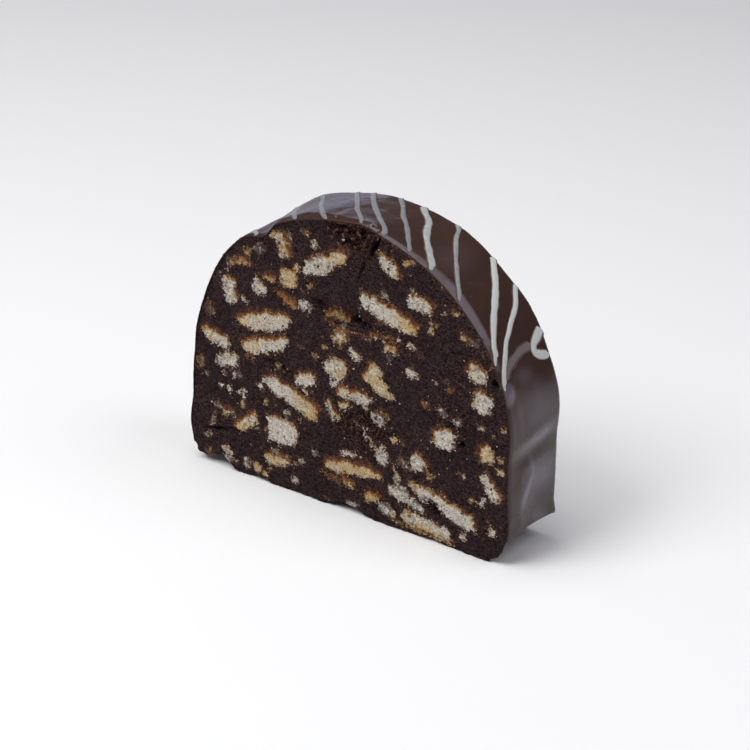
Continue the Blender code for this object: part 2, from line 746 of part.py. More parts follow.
def make_biscuits(finishes, pockets):
    """Every broken biscuit as a solid of its own, and the pocket that each lies in."""
    solids = []
    for number, shard in enumerate(FRONT_SHARDS, 1):
        inlay = front_inlay(shard, number)
        kind = "through" if shard.through else "front"
        solids.append(loft(f"biscuit_{kind}_{number:02}", inlay.solid_rings(float), finishes[shard.bake]))
        cutter(f"pocket_front_{number:02}", inlay.pocket_rings(float), finishes[shard.bake], pockets)
    for number, shard in enumerate(back_shards(), len(FRONT_SHARDS) + 1):
        inlay = back_inlay(shard, number)
        rings = inlay.solid_rings(lambda depth: THICKNESS - depth)
        pocket = inlay.pocket_rings(lambda depth: THICKNESS - depth)
        solids.append(loft(f"biscuit_back_{number:02}", rings, finishes[shard.bake]))
        cutter(f"pocket_back_{number:02}", pocket, finishes[shard.bake], pockets)
    return solids


def make_body(chocolate, pockets):
    """The biscuit chocolate with its hole, crease and crevice, and a pocket for each biscuit."""
    body = loft("cake_body", body_rings(), chocolate)
    for name, mark in (("air_hole", AIR_HOLE), ("crease", CREASE), ("crevice", CREVICE)):
        near = shard_outline(mark, 1)
        far = shard_outline(mark, 1, MARK_TAIL)
        rings = [ring_at(near, -CUT_PAST), ring_at(near, FACE_SINK), ring_at(far, mark.reach)]
        cutter(name, rings, chocolate, pockets)
    boolean(body, pockets, "DIFFERENCE")
    return body


def main():
    """Clears the scene and builds the slice under one empty."""
    for old in list(bpy.data.objects):
        bpy.data.objects.remove(old)
    chocolate = material("chocolate_crumb", (0.032, 0.022, 0.022), 0.85)
    dark = material("dark_coating", (0.040, 0.020, 0.014), 0.35)
    white = material("white_drizzle", (0.66, 0.62, 0.56), 0.5)
    finishes = {
        Bake.PALE: material("biscuit_pale", (0.58, 0.50, 0.38), 0.9),
        Bake.GOLDEN: material("biscuit_golden", (0.60, 0.40, 0.17), 0.9),
        Bake.TOASTED: material("biscuit_toasted", (0.25, 0.11, 0.045), 0.9),
    }
    pockets = bpy.data.collections.new("pockets")
    bpy.context.scene.collection.children.link(pockets)
    solids = make_biscuits(finishes, pockets)
    solids.append(make_coating(dark, white))
    solids.append(make_body(chocolate, pockets))
    slice_origin = bpy.data.objects.new("slice_origin", None)
    bpy.context.scene.collection.objects.link(slice_origin)
    for solid in solids:
        solid.parent = slice_origin


main()
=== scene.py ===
"""A dressed slice of icebox cake: dark chocolate set with broken biscuits, coated and drizzled.

Sizes are in millimetres until a mesh is made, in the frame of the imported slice: X runs across the cut, Y
through the slice from the front cut to the back cut, and Z is up. A place on the coating is given by its
arc, the distance along the cut's outline from the apex, positive towards +X, and by its depth behind the
front cut. A depth at the back cut is measured from that cut.
"""

import json
import logging
import math
from collections.abc import Sequence
from dataclasses import dataclass, field
from enum import Enum
from itertools import pairwise
from typing import Protocol

import bmesh
import bpy
import numpy as np
from mathutils import Matrix, Vector, geometry, noise


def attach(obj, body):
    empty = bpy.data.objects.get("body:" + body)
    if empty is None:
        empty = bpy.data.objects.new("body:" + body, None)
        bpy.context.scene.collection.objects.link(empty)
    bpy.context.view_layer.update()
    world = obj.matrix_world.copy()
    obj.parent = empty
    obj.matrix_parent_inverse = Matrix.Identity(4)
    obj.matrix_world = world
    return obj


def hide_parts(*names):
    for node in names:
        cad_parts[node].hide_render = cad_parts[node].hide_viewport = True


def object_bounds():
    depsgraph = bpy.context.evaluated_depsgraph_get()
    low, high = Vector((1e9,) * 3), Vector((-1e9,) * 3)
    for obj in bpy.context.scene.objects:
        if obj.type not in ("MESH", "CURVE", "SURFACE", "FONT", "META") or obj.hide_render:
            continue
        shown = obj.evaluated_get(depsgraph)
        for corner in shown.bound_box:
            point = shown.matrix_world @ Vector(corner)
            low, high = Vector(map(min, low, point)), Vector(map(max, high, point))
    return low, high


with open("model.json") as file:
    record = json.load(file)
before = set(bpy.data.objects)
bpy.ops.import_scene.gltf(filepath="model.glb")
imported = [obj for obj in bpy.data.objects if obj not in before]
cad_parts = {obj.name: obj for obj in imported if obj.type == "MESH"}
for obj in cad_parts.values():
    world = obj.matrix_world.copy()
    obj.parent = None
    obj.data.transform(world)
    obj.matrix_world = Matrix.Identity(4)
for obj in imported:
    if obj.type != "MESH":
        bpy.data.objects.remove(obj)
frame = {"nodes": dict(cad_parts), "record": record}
CAD_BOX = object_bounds()

MM = 0.001
SPLINE_PARTS = 16
TILE_PLAY = 0.14
TILE_ROOM = 0.5
MERGE = 1e-7
Place = tuple[float, float]
Triple = tuple[float, float, float]
Colour = tuple[float, float, float]
log = logging.getLogger("icebox_cake")


def bump(distance: np.ndarray | float) -> np.ndarray | float:
    """A smooth rise from 0 at a distance of 1 or more to 1 at a distance of 0."""
    return 0.5 + 0.5 * np.cos(np.pi * np.minimum(1.0, np.abs(distance)))


def ease(value: np.ndarray, low: float, high: float) -> np.ndarray:
    """A smooth step from 0 at low to 1 at high."""
    share = np.clip((value - low) / (high - low), 0.0, 1.0)
    return share * share * (3 - 2 * share)


def unevenness(places: np.ndarray, size: float, seed: float = 0.0) -> np.ndarray:
    """Smooth random heights, about -0.5 to 0.5.

    Args:
        places: points in millimetres, one row each.
        size: how large the lumps are.
        seed: picks another pattern.

    Returns:
        One height for each place.
    """
    shift = Vector((seed * 3.7, seed * 5.3, seed * 7.9))
    return np.array([noise.noise(Vector(place) / size + shift) for place in places])


def smooth_way(corners: np.ndarray, step: float, closed: bool) -> np.ndarray:
    """A smooth curve through corners.

    Args:
        corners: the corners in order, one row each.
        step: the distance between the curve's points.
        closed: whether the curve comes back to its first corner.

    Returns:
        Points at an even step along the curve.
    """
    if closed:
        posts, least = np.vstack([corners[-1:], corners, corners[:2]]), 8
    else:
        posts, least = np.vstack([2 * corners[0] - corners[1], corners, 2 * corners[-1] - corners[-2]]), 4
    parts = np.linspace(0.0, 1.0, SPLINE_PARTS, endpoint=False)[:, None]
    stretches = [
        0.5 * (2 * b + (c - a) * parts + (2 * a - 5 * b + 4 * c - d) * parts**2
               + (3 * b - a - 3 * c + d) * parts**3)
        for a, b, c, d in zip(posts, posts[1:], posts[2:], posts[3:], strict=False)
    ]
    curve = np.vstack([*stretches, posts[-2:-1]])
    lengths = np.append(0.0, np.cumsum(np.linalg.norm(np.diff(curve, axis=0), axis=1)))
    marks = np.linspace(0.0, lengths[-1], max(least, round(lengths[-1] / step)), endpoint=not closed)
    return np.column_stack([np.interp(marks, lengths, side) for side in curve.T])


@dataclass(frozen=True)
class Nearness:
    """How places lie to a closed loop: their distance, positive inside, and the outward direction there."""

    distance: np.ndarray
    outward: np.ndarray


def near_loop(places: np.ndarray, loop: np.ndarray, chunk: int = 2000) -> Nearness:
    """Measures places against a closed loop.

    Args:
        places: points in the loop's plane, one row each.
        loop: the loop's corners in order.
        chunk: how many places are measured at a time.

    Returns:
        The signed distances and the outward directions at the nearest points.
    """
    along = np.roll(loop, -1, axis=0) - loop
    length = np.maximum((along**2).sum(axis=1), 1e-9)
    area = (loop[:, 0] * np.roll(loop[:, 1], -1) - loop[:, 1] * np.roll(loop[:, 0], -1)).sum()
    outward = np.column_stack([along[:, 1], -along[:, 0]]) * np.sign(area)
    outward /= np.linalg.norm(outward, axis=1)[:, None] + 1e-12
    distances, directions = [], []
    for start in range(0, len(places), chunk):
        offset = places[start : start + chunk, None] - loop[None]
        share = np.clip((offset * along).sum(axis=2) / length, 0.0, 1.0)
        gap = offset - share[..., None] * along
        square = (gap**2).sum(axis=2)
        nearest = square.argmin(axis=1)
        up = places[start : start + chunk, None, 1]
        level = np.roll(loop[:, 1], -1)
        rise = np.where(along[:, 1] == 0, 1e-12, along[:, 1])
        crossing = loop[:, 0] + (up - loop[:, 1]) / rise * along[:, 0]
        crosses = (loop[:, 1] > up) != (level > up)
        inside = (crosses & (places[start : start + chunk, None, 0] < crossing)).sum(axis=1) % 2 == 1
        reach = np.sqrt(square[np.arange(len(nearest)), nearest])
        distances.append(np.where(inside, reach, -reach))
        directions.append(outward[nearest])
    return Nearness(np.concatenate(distances), np.vstack(directions))


def tiles(
    loop: np.ndarray, holes: list[np.ndarray], pitch: float, seed: int
) -> tuple[np.ndarray, np.ndarray]:
    """Even triangles inside a loop and outside its holes.

    Args:
        loop: the outer loop's corners.
        holes: the loops left open.
        pitch: the length of a triangle's side.
        seed: seeds the play of the inner points.

    Returns:
        The points, with those of the loops first, and the triangles.
    """
    low, high = loop.min(axis=0), loop.max(axis=0)
    rows = np.arange(low[1], high[1], pitch * math.sqrt(0.75))
    columns = np.arange(low[0], high[0], pitch)
    across, up = np.meshgrid(columns, rows)
    across = across + (np.arange(len(rows)) % 2)[:, None] * pitch / 2
    inner = np.column_stack([across.ravel(), up.ravel()])
    inner += np.random.default_rng(seed).uniform(-TILE_PLAY, TILE_PLAY, inner.shape) * pitch
    inner = inner[near_loop(inner, loop).distance > TILE_ROOM * pitch]
    for hole in holes:
        near = ((inner > hole.min(axis=0) - pitch) & (inner < hole.max(axis=0) + pitch)).all(axis=1)
        clear = near_loop(inner[near], hole).distance < -TILE_ROOM * pitch
        near[near] = ~clear
        inner = inner[~near]
    loops = [loop, *holes]
    edges, count = [], 0
    for ring in loops:
        edges += [(count + index, count + (index + 1) % len(ring)) for index in range(len(ring))]
        count += len(ring)
    seeds = [Vector(place) for place in np.vstack([*loops, inner])]
    flat, _, faces, *_ = geometry.delaunay_2d_cdt(seeds, edges, [], 0, MERGE, False)
    points, faces = np.array([tuple(point) for point in flat]), np.array(faces)
    middles = points[faces].mean(axis=1)
    kept = near_loop(middles, loop).distance > 0
    for hole in holes:
        near = ((middles > hole.min(axis=0)) & (middles < hole.max(axis=0))).all(axis=1) & kept
        kept[near] = near_loop(middles[near], hole).distance < 0
    return points, faces[kept]


def store(mesh: bpy.types.Mesh, name: str, values: np.ndarray) -> None:
    """Stores one number a vertex under a layer's name."""
    mesh.attributes.new(name, "FLOAT", "POINT").data.foreach_set("value", values.astype(np.float32))


class Shell:
    """A surface gathered from patches and bands, in millimetres, with numbers at its points in layers."""

    weld = 0.002

    def __init__(self, *layers: str) -> None:
        """Starts with no faces.

        Args:
            layers: the names of the layers that the points fill.
        """
        self.layers = layers
        self.points: list[np.ndarray] = []
        self.values: list[np.ndarray] = []
        self.faces: list[list[int]] = []
        self.count = 0

    def patch(self, points: np.ndarray, faces: np.ndarray, values: np.ndarray | None = None) -> None:
        """Adds faces between points of their own.

        Args:
            points: the points, one row each.
            faces: the faces, as rows of the points' indices.
            values: one number a point for each layer, or else zeros.
        """
        self.points.append(points)
        self.values.append(np.zeros((len(points), len(self.layers))) if values is None else values)
        self.faces += (faces + self.count).tolist()
        self.count += len(points)

    def band(self, rings: Sequence[np.ndarray], values: np.ndarray | None = None) -> None:
        """Adds four-sided faces between closed rings that have as many points each.

        Args:
            rings: the rings in order.
            values: the points' numbers, ring after ring.
        """
        count = len(rings[0])
        steps = np.arange(count)
        following = (steps + 1) % count
        faces = [
            np.column_stack([row * count + steps, row * count + following,
                             (row + 1) * count + following, (row + 1) * count + steps])
            for row in range(len(rings) - 1)
        ]
        self.patch(np.vstack(rings), np.vstack(faces), values)

    def piece(self, name: str) -> bpy.types.Object:
        """Makes one smooth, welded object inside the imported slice's box, with its faces outward.

        Args:
            name: the object's name.

        Returns:
            The object.
        """
        low, high = (np.array(corner) for corner in CAD_BOX)
        mesh = bpy.data.meshes.new(name)
        mesh.from_pydata(np.clip(np.vstack(self.points) * MM, low, high), [], self.faces)
        for layer, values in zip(self.layers, np.vstack(self.values).T, strict=True):
            store(mesh, layer, values)
        shape = bmesh.new()
        shape.from_mesh(mesh)
        bmesh.ops.remove_doubles(shape, verts=shape.verts, dist=self.weld * MM)
        bmesh.ops.recalc_face_normals(shape, faces=shape.faces)
        shape.to_mesh(mesh)
        shape.free()
        mesh.shade_smooth()
        made = bpy.data.objects.new(name, mesh)
        bpy.context.scene.collection.objects.link(made)
        return made


def places_of(piece: bpy.types.Object) -> np.ndarray:
    """Reads a piece's vertices.

    Args:
        piece: the piece.

    Returns:
        Their places in millimetres, one row each.
    """
    places = np.empty(3 * len(piece.data.vertices))
    piece.data.vertices.foreach_get("co", places)
    return places.reshape(-1, 3) / MM


def set_through(places: np.ndarray, through: np.ndarray) -> np.ndarray:
    """Places across and up, set at places through the slice."""
    return np.column_stack([places[:, 0], through, places[:, 1]])


def hand_over(piece: bpy.types.Object, nodes: list[str]) -> None:
    """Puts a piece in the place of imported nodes.

    Args:
        piece: the piece.
        nodes: the names of the nodes that it stands in for.
    """
    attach(piece, "root")
    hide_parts(*nodes)
    log.info("%s: %d faces in place of %d nodes", piece.name, len(piece.data.polygons), len(nodes))


# The slice's own form


@dataclass(frozen=True)
class Swell:
    """A rise, or a dip where its height is negative, in the coating and the chocolate under it."""

    arc: float
    depth: float
    arc_reach: float
    depth_reach: float
    height: float


@dataclass(frozen=True)
class Wave:
    """A slow wave over the coating."""

    height: float
    arc_length: float
    depth_length: float
    start: float


@dataclass(frozen=True)
class SliceForm:
    """The slice's sizes, its outline by arc, and the coating's uneven surface."""

    half_width: float = 50.0
    height: float = 79.4
    thickness: float = 21.7
    wall_top: float = 34.8
    across_power: float = 2.0
    up_power: float = 1.78
    coating: float = 1.0
    edge_coating: float = 0.12
    edge_reach: float = 1.8
    sharp_lip: float = 0.35
    lip_width: float = 0.55
    lip_extra: float = 1.7
    lip_arc: float = 36.0
    lip_reach: float = 26.0
    shoulder: float = 2.2
    shoulder_drop: float = 0.75
    shoulder_arc: float = -14.0
    shoulder_reach: float = 27.0
    sharp_drop: float = 0.25
    lip_drop: float = 0.5
    back_lip: float = 0.8
    back_drop: float = 0.3
    lip_start: Place = (-8.0, 12.0)
    lip_end: Place = (-66.0, -58.0)
    front_curve: float = 1.1
    back_curve: float = 1.5
    left_foot: Place = (4.4, 5.6)
    right_foot: Place = (7.3, 6.9)
    turns: int = 400
    probe: float = 0.5
    rim_points: int = 120
    rim_gap: float = 4.0
    waves: tuple[Wave, ...] = (
        Wave(height=0.16, arc_length=7.3, depth_length=6.1, start=1.1),
        Wave(height=0.12, arc_length=3.7, depth_length=-5.0, start=0.0),
    )
    swells: tuple[Swell, ...] = (
        Swell(-63.0, 0.0, 17.0, 32.0, -0.9),
        Swell(-29.6, 0.0, 6.2, 9.0, -1.9),
        Swell(-97.5, 2.0, 9.0, 14.0, 1.3),
        Swell(-88.0, 16.0, 9.0, 9.0, 0.7),
        Swell(4.5, 0.0, 6.0, 6.0, 0.5),
        Swell(62.0, 1.0, 3.6, 4.0, 0.4),
        Swell(-27.0, 21.7, 17.0, 13.0, 0.8),
        Swell(47.0, 21.7, 13.0, 11.0, 0.6),
        Swell(75.2, 12.0, 3.6, 12.0, 0.35),
        Swell(79.6, 10.0, 4.0, 15.0, -0.75),
        Swell(87.0, 6.5, 7.0, 6.0, 0.55),
        Swell(92.5, 13.0, 7.0, 7.0, -0.4),
        Swell(97.0, 3.0, 7.0, 9.0, 0.5),
        Swell(101.5, 21.7, 4.5, 12.0, 0.7),
        Swell(-76.0, 5.0, 6.0, 9.0, -0.5),
        Swell(-83.0, 17.0, 6.0, 9.0, 0.4),
        Swell(-70.0, 18.0, 6.0, 8.0, -0.4),
    )

    def table(self) -> tuple[np.ndarray, np.ndarray, np.ndarray]:
        """Traces the right half of the outline.

        Returns:
            The arcs, the places across and the heights.
        """
        turn = np.linspace(math.pi / 2, 0.0, self.turns)
        rise = self.height - self.wall_top
        across = self.half_width * np.abs(np.cos(turn)) ** (2 / self.across_power)
        across = np.append(across, self.half_width)
        up = np.append(self.wall_top + rise * np.abs(np.sin(turn)) ** (2 / self.up_power), 0.0)
        arc = np.append(0.0, np.cumsum(np.hypot(np.diff(across), np.diff(up))))
        return arc, across, up

    def place(self, arc: np.ndarray) -> np.ndarray:
        """The even outline's places across and up at arcs."""
        arcs, across, up = self.table()
        return np.column_stack([
            np.copysign(np.interp(np.abs(arc), arcs, across), arc), np.interp(np.abs(arc), arcs, up),
        ])

    def outward(self, arc: np.ndarray) -> np.ndarray:
        """Finds the directions that point out of the cake.

        Args:
            arc: the arcs.

        Returns:
            One direction across and up for each arc.
        """
        along = self.place(arc + self.probe) - self.place(arc - self.probe)
        along /= np.linalg.norm(along, axis=1)[:, None]
        return np.column_stack([-along[:, 1], along[:, 0]])

    def swell(self, arc: np.ndarray, depth: np.ndarray) -> np.ndarray:
        """Adds up the waves and swells.

        Args:
            arc: the arcs.
            depth: the depths.

        Returns:
            How far the coating stands out of the even outline at each place.
        """
        height = np.zeros(np.broadcast(arc, depth).shape)
        for wave in self.waves:
            height += wave.height * np.sin(arc / wave.arc_length + depth / wave.depth_length + wave.start)
        for lump in self.swells:
            across = bump((arc - lump.arc) / lump.arc_reach)
            height += lump.height * across * bump((depth - lump.depth) / lump.depth_reach)
        return height

    def skin(self, arc: np.ndarray, depth: np.ndarray, lift: np.ndarray | float = 0.0) -> np.ndarray:
        """Finds points over the coating's surface.

        Args:
            arc: the arcs.
            depth: the depths.
            lift: how far over the surface each point lies.

        Returns:
            The points, one row each.
        """
        rise = (self.swell(arc, depth) + lift)[:, None]
        flat = self.place(arc) + self.outward(arc) * rise
        through = np.broadcast_to(depth - self.thickness / 2, arc.shape)
        return np.column_stack([flat[:, 0], through, flat[:, 1]])

    def drop(self, arc: np.ndarray, depth: np.ndarray) -> np.ndarray:
        """Works out the fall of the coating's surface towards its cut edges.

        Args:
            arc: the arcs.
            depth: the depths.

        Returns:
            How far it falls at each place.
        """
        front = np.maximum(0.0, 1 - depth / self.front_lip(arc))
        shoulder = self.shoulder_drop * bump((arc - self.shoulder_arc) / self.shoulder_reach)
        back = np.maximum(0.0, 1 - (self.thickness - depth) / self.back_lip)
        lip = self.lip_drop * ease(arc, *self.lip_start) * ease(-arc, *self.lip_end)
        fall = (self.sharp_drop + lip + shoulder) * front**self.front_curve
        return np.maximum(fall, self.back_drop * back**self.back_curve)

    def front_lip(self, arc: np.ndarray) -> np.ndarray:
        """Works out the width of the bevel along the coating's front edge.

        Args:
            arc: the arcs.

        Returns:
            The width at each arc.
        """
        extra = self.lip_extra * bump((arc - self.lip_arc) / self.lip_reach)
        wide = self.lip_width * ease(arc, *self.lip_start) + extra
        return self.sharp_lip + wide + self.shoulder * bump((arc - self.shoulder_arc) / self.shoulder_reach)

    def inner(self, arc: np.ndarray, depth: np.ndarray) -> np.ndarray:
        """How far the coating's inner side lies under the even surface, less at the thin cut edges."""
        edge = bump(np.minimum(depth, self.thickness - depth) / self.edge_reach)
        return -self.coating * (1 - edge) - (self.drop(arc, depth) + self.edge_coating) * edge

    def arcs(self, depth: float, count: int) -> np.ndarray:
        """Spaces arcs evenly from the coating's left foot to its right foot.

        Args:
            depth: the depth behind the front cut.
            count: how many arcs there are.

        Returns:
            The arcs.
        """
        share = depth / self.thickness
        end = self.table()[0][-1]
        left = np.interp(share, (0.0, 1.0), self.left_foot) - end
        right = end - np.interp(share, (0.0, 1.0), self.right_foot)
        return np.linspace(left, right, count)

    def cut_rim(self) -> np.ndarray:
        """The even outline, down to a little over the base, that strewn crumbs keep inside."""
        arcs = np.linspace(-1.0, 1.0, self.rim_points) * (self.table()[0][-1] - self.rim_gap)
        return self.place(arcs)


FORM = SliceForm()


class Cut(Enum):
    """The two cut faces, by the direction in which each one's depth grows."""

    FRONT = 1
    BACK = -1

    def through(self, depth: np.ndarray | float) -> np.ndarray | float:
        """The place through the slice of a depth behind this cut."""
        return self.value * (depth - FORM.thickness / 2)

    def depth(self, through: np.ndarray) -> np.ndarray:
        """The depth behind this cut of a place through the slice."""
        return self.value * through + FORM.thickness / 2


@dataclass(frozen=True)
class Scar:
    """A place where the knife tore the cut: a dip, rough if it has a tear, and how loose its crumb is."""

    x: float
    z: float
    length: float
    width: float
    tilt: float = 0.0
    depth: float = 0.0
    tear: float = 0.0
    loose: float = 0.0
    edge: float = 1.0

    def share(self, places: np.ndarray) -> np.ndarray:
        """Measures the scar at places.

        Args:
            places: places across and up, one row each.

        Returns:
            How much of the scar is at each, 1 in its middle and 0 outside it.
        """
        turn = math.radians(self.tilt)
        off = places - (self.x, self.z)
        along = off @ (math.cos(turn), math.sin(turn)) / (self.length / 2)
        aside = off @ (-math.sin(turn), math.cos(turn)) / (self.width / 2)
        return bump(np.hypot(along, aside)) ** self.edge


FRONT_SCARS = (
    Scar(1.0, 76.2, 21.0, 8.6, depth=0.3, tear=1.3, loose=1.0, edge=0.8),
    Scar(3.0, 72.6, 14.0, 4.4, -12, tear=0.6, loose=0.8),
    Scar(-0.6, 53.8, 17.0, 6.0, -3, depth=1.5, tear=0.6, loose=0.7, edge=0.6),
    Scar(7.8, 74.4, 10.0, 1.6, 66, depth=2.0, edge=0.45),
    Scar(4.4, 67.6, 8.0, 1.0, 68, depth=1.2, edge=0.6),
    Scar(35.4, 29.2, 2.8, 2.4, 10, depth=1.6, tear=0.5, edge=0.7),
    Scar(-9.0, 55.2, 5.0, 3.0, -10, depth=1.2, tear=0.6, edge=0.7),
    Scar(27.0, 10.6, 8.0, 2.4, -14, depth=1.2, tear=0.8, loose=1.0),
    Scar(44.9, 48.3, 2.3, 2.3, depth=3.0, edge=0.3),
    Scar(-21.5, 34.3, 12.0, 1.5, -10, depth=1.5, tear=0.5, edge=0.6),
    Scar(-21.0, 34.5, 14.0, 5.0, -10, tear=0.3, loose=0.8),
    Scar(-42.5, 10.6, 10.0, 1.1, 12, depth=1.4, tear=0.3, edge=0.6),
    Scar(-35.0, 11.9, 8.0, 1.0, 0, depth=1.4, tear=0.3, edge=0.6),
    Scar(27.8, 8.7, 6.4, 4.0, -20, depth=1.3, tear=1.0, loose=1.0),
    Scar(5.5, 25.0, 28.0, 25.0, depth=0.15, tear=0.5, loose=1.0),
    Scar(34.0, 34.0, 20.0, 16.0, tear=0.25, loose=0.45),
    Scar(-30.0, 23.0, 20.0, 8.0, tear=0.2, loose=0.4),
    Scar(38.0, 12.0, 18.0, 10.0, tear=0.2, loose=0.3),
    Scar(-26.0, 66.0, 12.0, 9.0, tear=0.3, loose=0.35),
    Scar(4.6, 52.9, 12.0, 2.0, -6, depth=0.7, tear=0.7, loose=0.5, edge=0.6),
)

BACK_SCARS = (
    Scar(8.0, 70.0, 22.0, 9.0, depth=0.3, tear=0.8, loose=0.8),
    Scar(-20.0, 30.0, 20.0, 14.0, depth=0.15, tear=0.5, loose=0.9),
    Scar(25.0, 24.0, 18.0, 2.0, 12, depth=0.8, tear=0.5, loose=0.5),
    Scar(-8.0, 56.0, 14.0, 3.0, 8, depth=0.9, tear=0.5, loose=0.5),
    Scar(36.0, 60.0, 1.7, 1.7, depth=2.2, edge=0.5),
    Scar(-42.0, 16.0, 12.0, 10.0, tear=0.4, loose=0.5),
)


@dataclass(frozen=True)
class CutRelief:
    """The uneven surface that the knife left, as depths behind the foremost point of the cut."""

    cut: Cut
    scars: tuple[Scar, ...]
    sink: float = 0.2
    waviness: float = 0.25
    wave_size: float = 9.0
    lumps: float = 0.30
    lump_size: float = 2.2
    grain: float = 0.30
    grain_size: float = 0.95
    tears: tuple[Place, Place] = ((1.8, 1.7), (1.2, 0.9))
    tear_gain: float = 2.0
    tear_rest: float = 0.3
    shallowest: float = 0.02
    # the scar depths over which the painted shade of a hollow grows from none to full
    dark_depths: Place = (0.7, 1.6)
    seed: float = 0.0

    def depth(self, places: np.ndarray) -> np.ndarray:
        """Works out the cut's surface.

        Args:
            places: places across and up, one row each.

        Returns:
            The depth at each place.
        """
        solid = np.column_stack([places[:, 0], np.full(len(places), self.seed), places[:, 1]])
        wide = solid if self.cut is Cut.FRONT else solid * (-1, 0, 1) + (0, 0, FORM.height)
        depth = self.sink + self.waviness * unevenness(wide * (1, 0, 1), self.wave_size)
        depth += self.lumps * unevenness(solid, self.lump_size, 1)
        depth += self.grain * unevenness(solid, self.grain_size, 2)
        torn = sum(
            height * np.abs(unevenness(solid, size, seed))
            for seed, (height, size) in enumerate(self.tears, 3)
        )
        for scar in self.scars:
            share = scar.share(places)
            depth += share * (scar.depth + scar.tear * (torn * self.tear_gain - self.tear_rest))
        return np.maximum(depth, self.shallowest)

    def loose(self, places: np.ndarray) -> np.ndarray:
        """How loose the crumb is at places, 0 to 1."""
        return np.clip(sum(scar.loose * scar.share(places) for scar in self.scars), 0.0, 1.0)

    def hollow(self, places: np.ndarray) -> np.ndarray:
        """How much painted shade places get for lying deep in a hollow, 0 to 1."""
        return ease(sum(scar.depth * scar.share(places) for scar in self.scars), *self.dark_depths)


# What shows in the cuts


@dataclass(frozen=True)
class BiscuitLook:
    """A biscuit's bake from its left end to its right end, 0 pale, 1 golden and 2 toasted, and its crust.

    The crust is on the side that faces its direction, in degrees. The veil is how far chocolate smears it.
    """

    left: float
    right: float
    crust: float = 80.0
    veil: float = 0.0
    crust_share: float = 1.0


PLAIN_LOOKS = {
    "biscuit_pale": BiscuitLook(0.1, 0.4, 80),
    "biscuit_golden": BiscuitLook(0.9, 0.7, 80),
    "biscuit_toasted": BiscuitLook(1.6, 1.4, 80),
}

LOOKS = {number: BiscuitLook(*row) for number, row in {
    1: (0.5, 0.8, 40, 0.3), 2: (0.0, 0.9, 75, 0.2), 3: (1.6, 1.2, 60, 0.4), 4: (0.9, 1.0, 80, 0.0, 0.5),
    5: (0.2, 0.3, 60, 0.2), 6: (0.0, 0.1, 60, 0.2, 0.6), 7: (1.2, 0.9, 90), 8: (1.9, 1.6, 40),
    9: (0.0, 0.0, 90, 0.35, 0.3), 10: (0.75, 0.3, 100), 11: (0.9, 0.0, 105), 12: (0.8, 0.1, 80, 0.12),
    13: (0.1, 0.15, 80, 0.15, 0.5), 14: (0.3, 0.3, 70), 15: (-0.3, 1.3, 60, 0.1),
    16: (0.1, 0.2, 80, 0.0, 0.7), 17: (0.9, 0.7, 120, 0.15), 18: (0.9, 0.8, 90, 0.35),
    19: (1.0, 0.8, 90, 0.2), 20: (0.2, 0.2, 90, 0.35, 0.4), 21: (0.9, 0.9, 90), 22: (0.1, 0.3, 60, 0.3),
    23: (0.35, 0.6, 60, 0.25, 0.5), 24: (0.8, 0.8, 60, 0.35), 25: (1.2, 1.5, 80, 0.5),
    26: (0.1, 0.6, 40, 0.15), 27: (0.1, 0.35, 50, 0.12), 28: (-0.25, 1.2, 70), 29: (0.4, 0.5, 120, 0.3),
    30: (0.1, 0.15, 100, 0.15), 31: (0.8, 0.8, 80, 0.2), 32: (0.0, 0.1, 60, 0.2, 0.5),
    33: (0.1, 0.1, 80, 0.15, 0.5), 34: (0.75, 0.9, 150, 0.0, 0.6), 35: (0.9, 0.0, 100, 0.15),
    36: (0.1, 0.15, 130), 37: (0.8, 0.9, 160), 38: (0.1, 0.2, 70, 0.15), 39: (0.2, 0.3, 30, 0.2),
    40: (0.0, 0.3, 100, 0.2, 0.5), 41: (0.25, 0.15, 70), 42: (0.0, 0.1, 60, 0.3, 0.4),
    43: (0.5, 0.6, -100, 0.15, 0.8), 44: (0.2, 0.4, -80, 0.3), 45: (1.1, 1.1, 60, 0.2), 46: (1.7, 1.3, 80),
}.items()}


@dataclass(frozen=True)
class Bit:
    """A small bit of biscuit at a cut: its middle, sizes, tilt in degrees, bake and veil of chocolate."""

    x: float
    z: float
    length: float
    width: float
    tilt: float = 0.0
    bake: float = 0.2
    veil: float = 0.0
    corners: int = 14

    def loop(self) -> np.ndarray:
        """Traces the bit.

        Returns:
            The outline's corners across and up.
        """
        turn = np.linspace(0.0, 2 * math.pi, self.corners, endpoint=False)
        tilt = math.radians(self.tilt)
        along, aside = self.length / 2 * np.cos(turn), self.width / 2 * np.sin(turn)
        return np.column_stack([
            self.x + along * math.cos(tilt) - aside * math.sin(tilt),
            self.z + along * math.sin(tilt) + aside * math.cos(tilt),
        ])


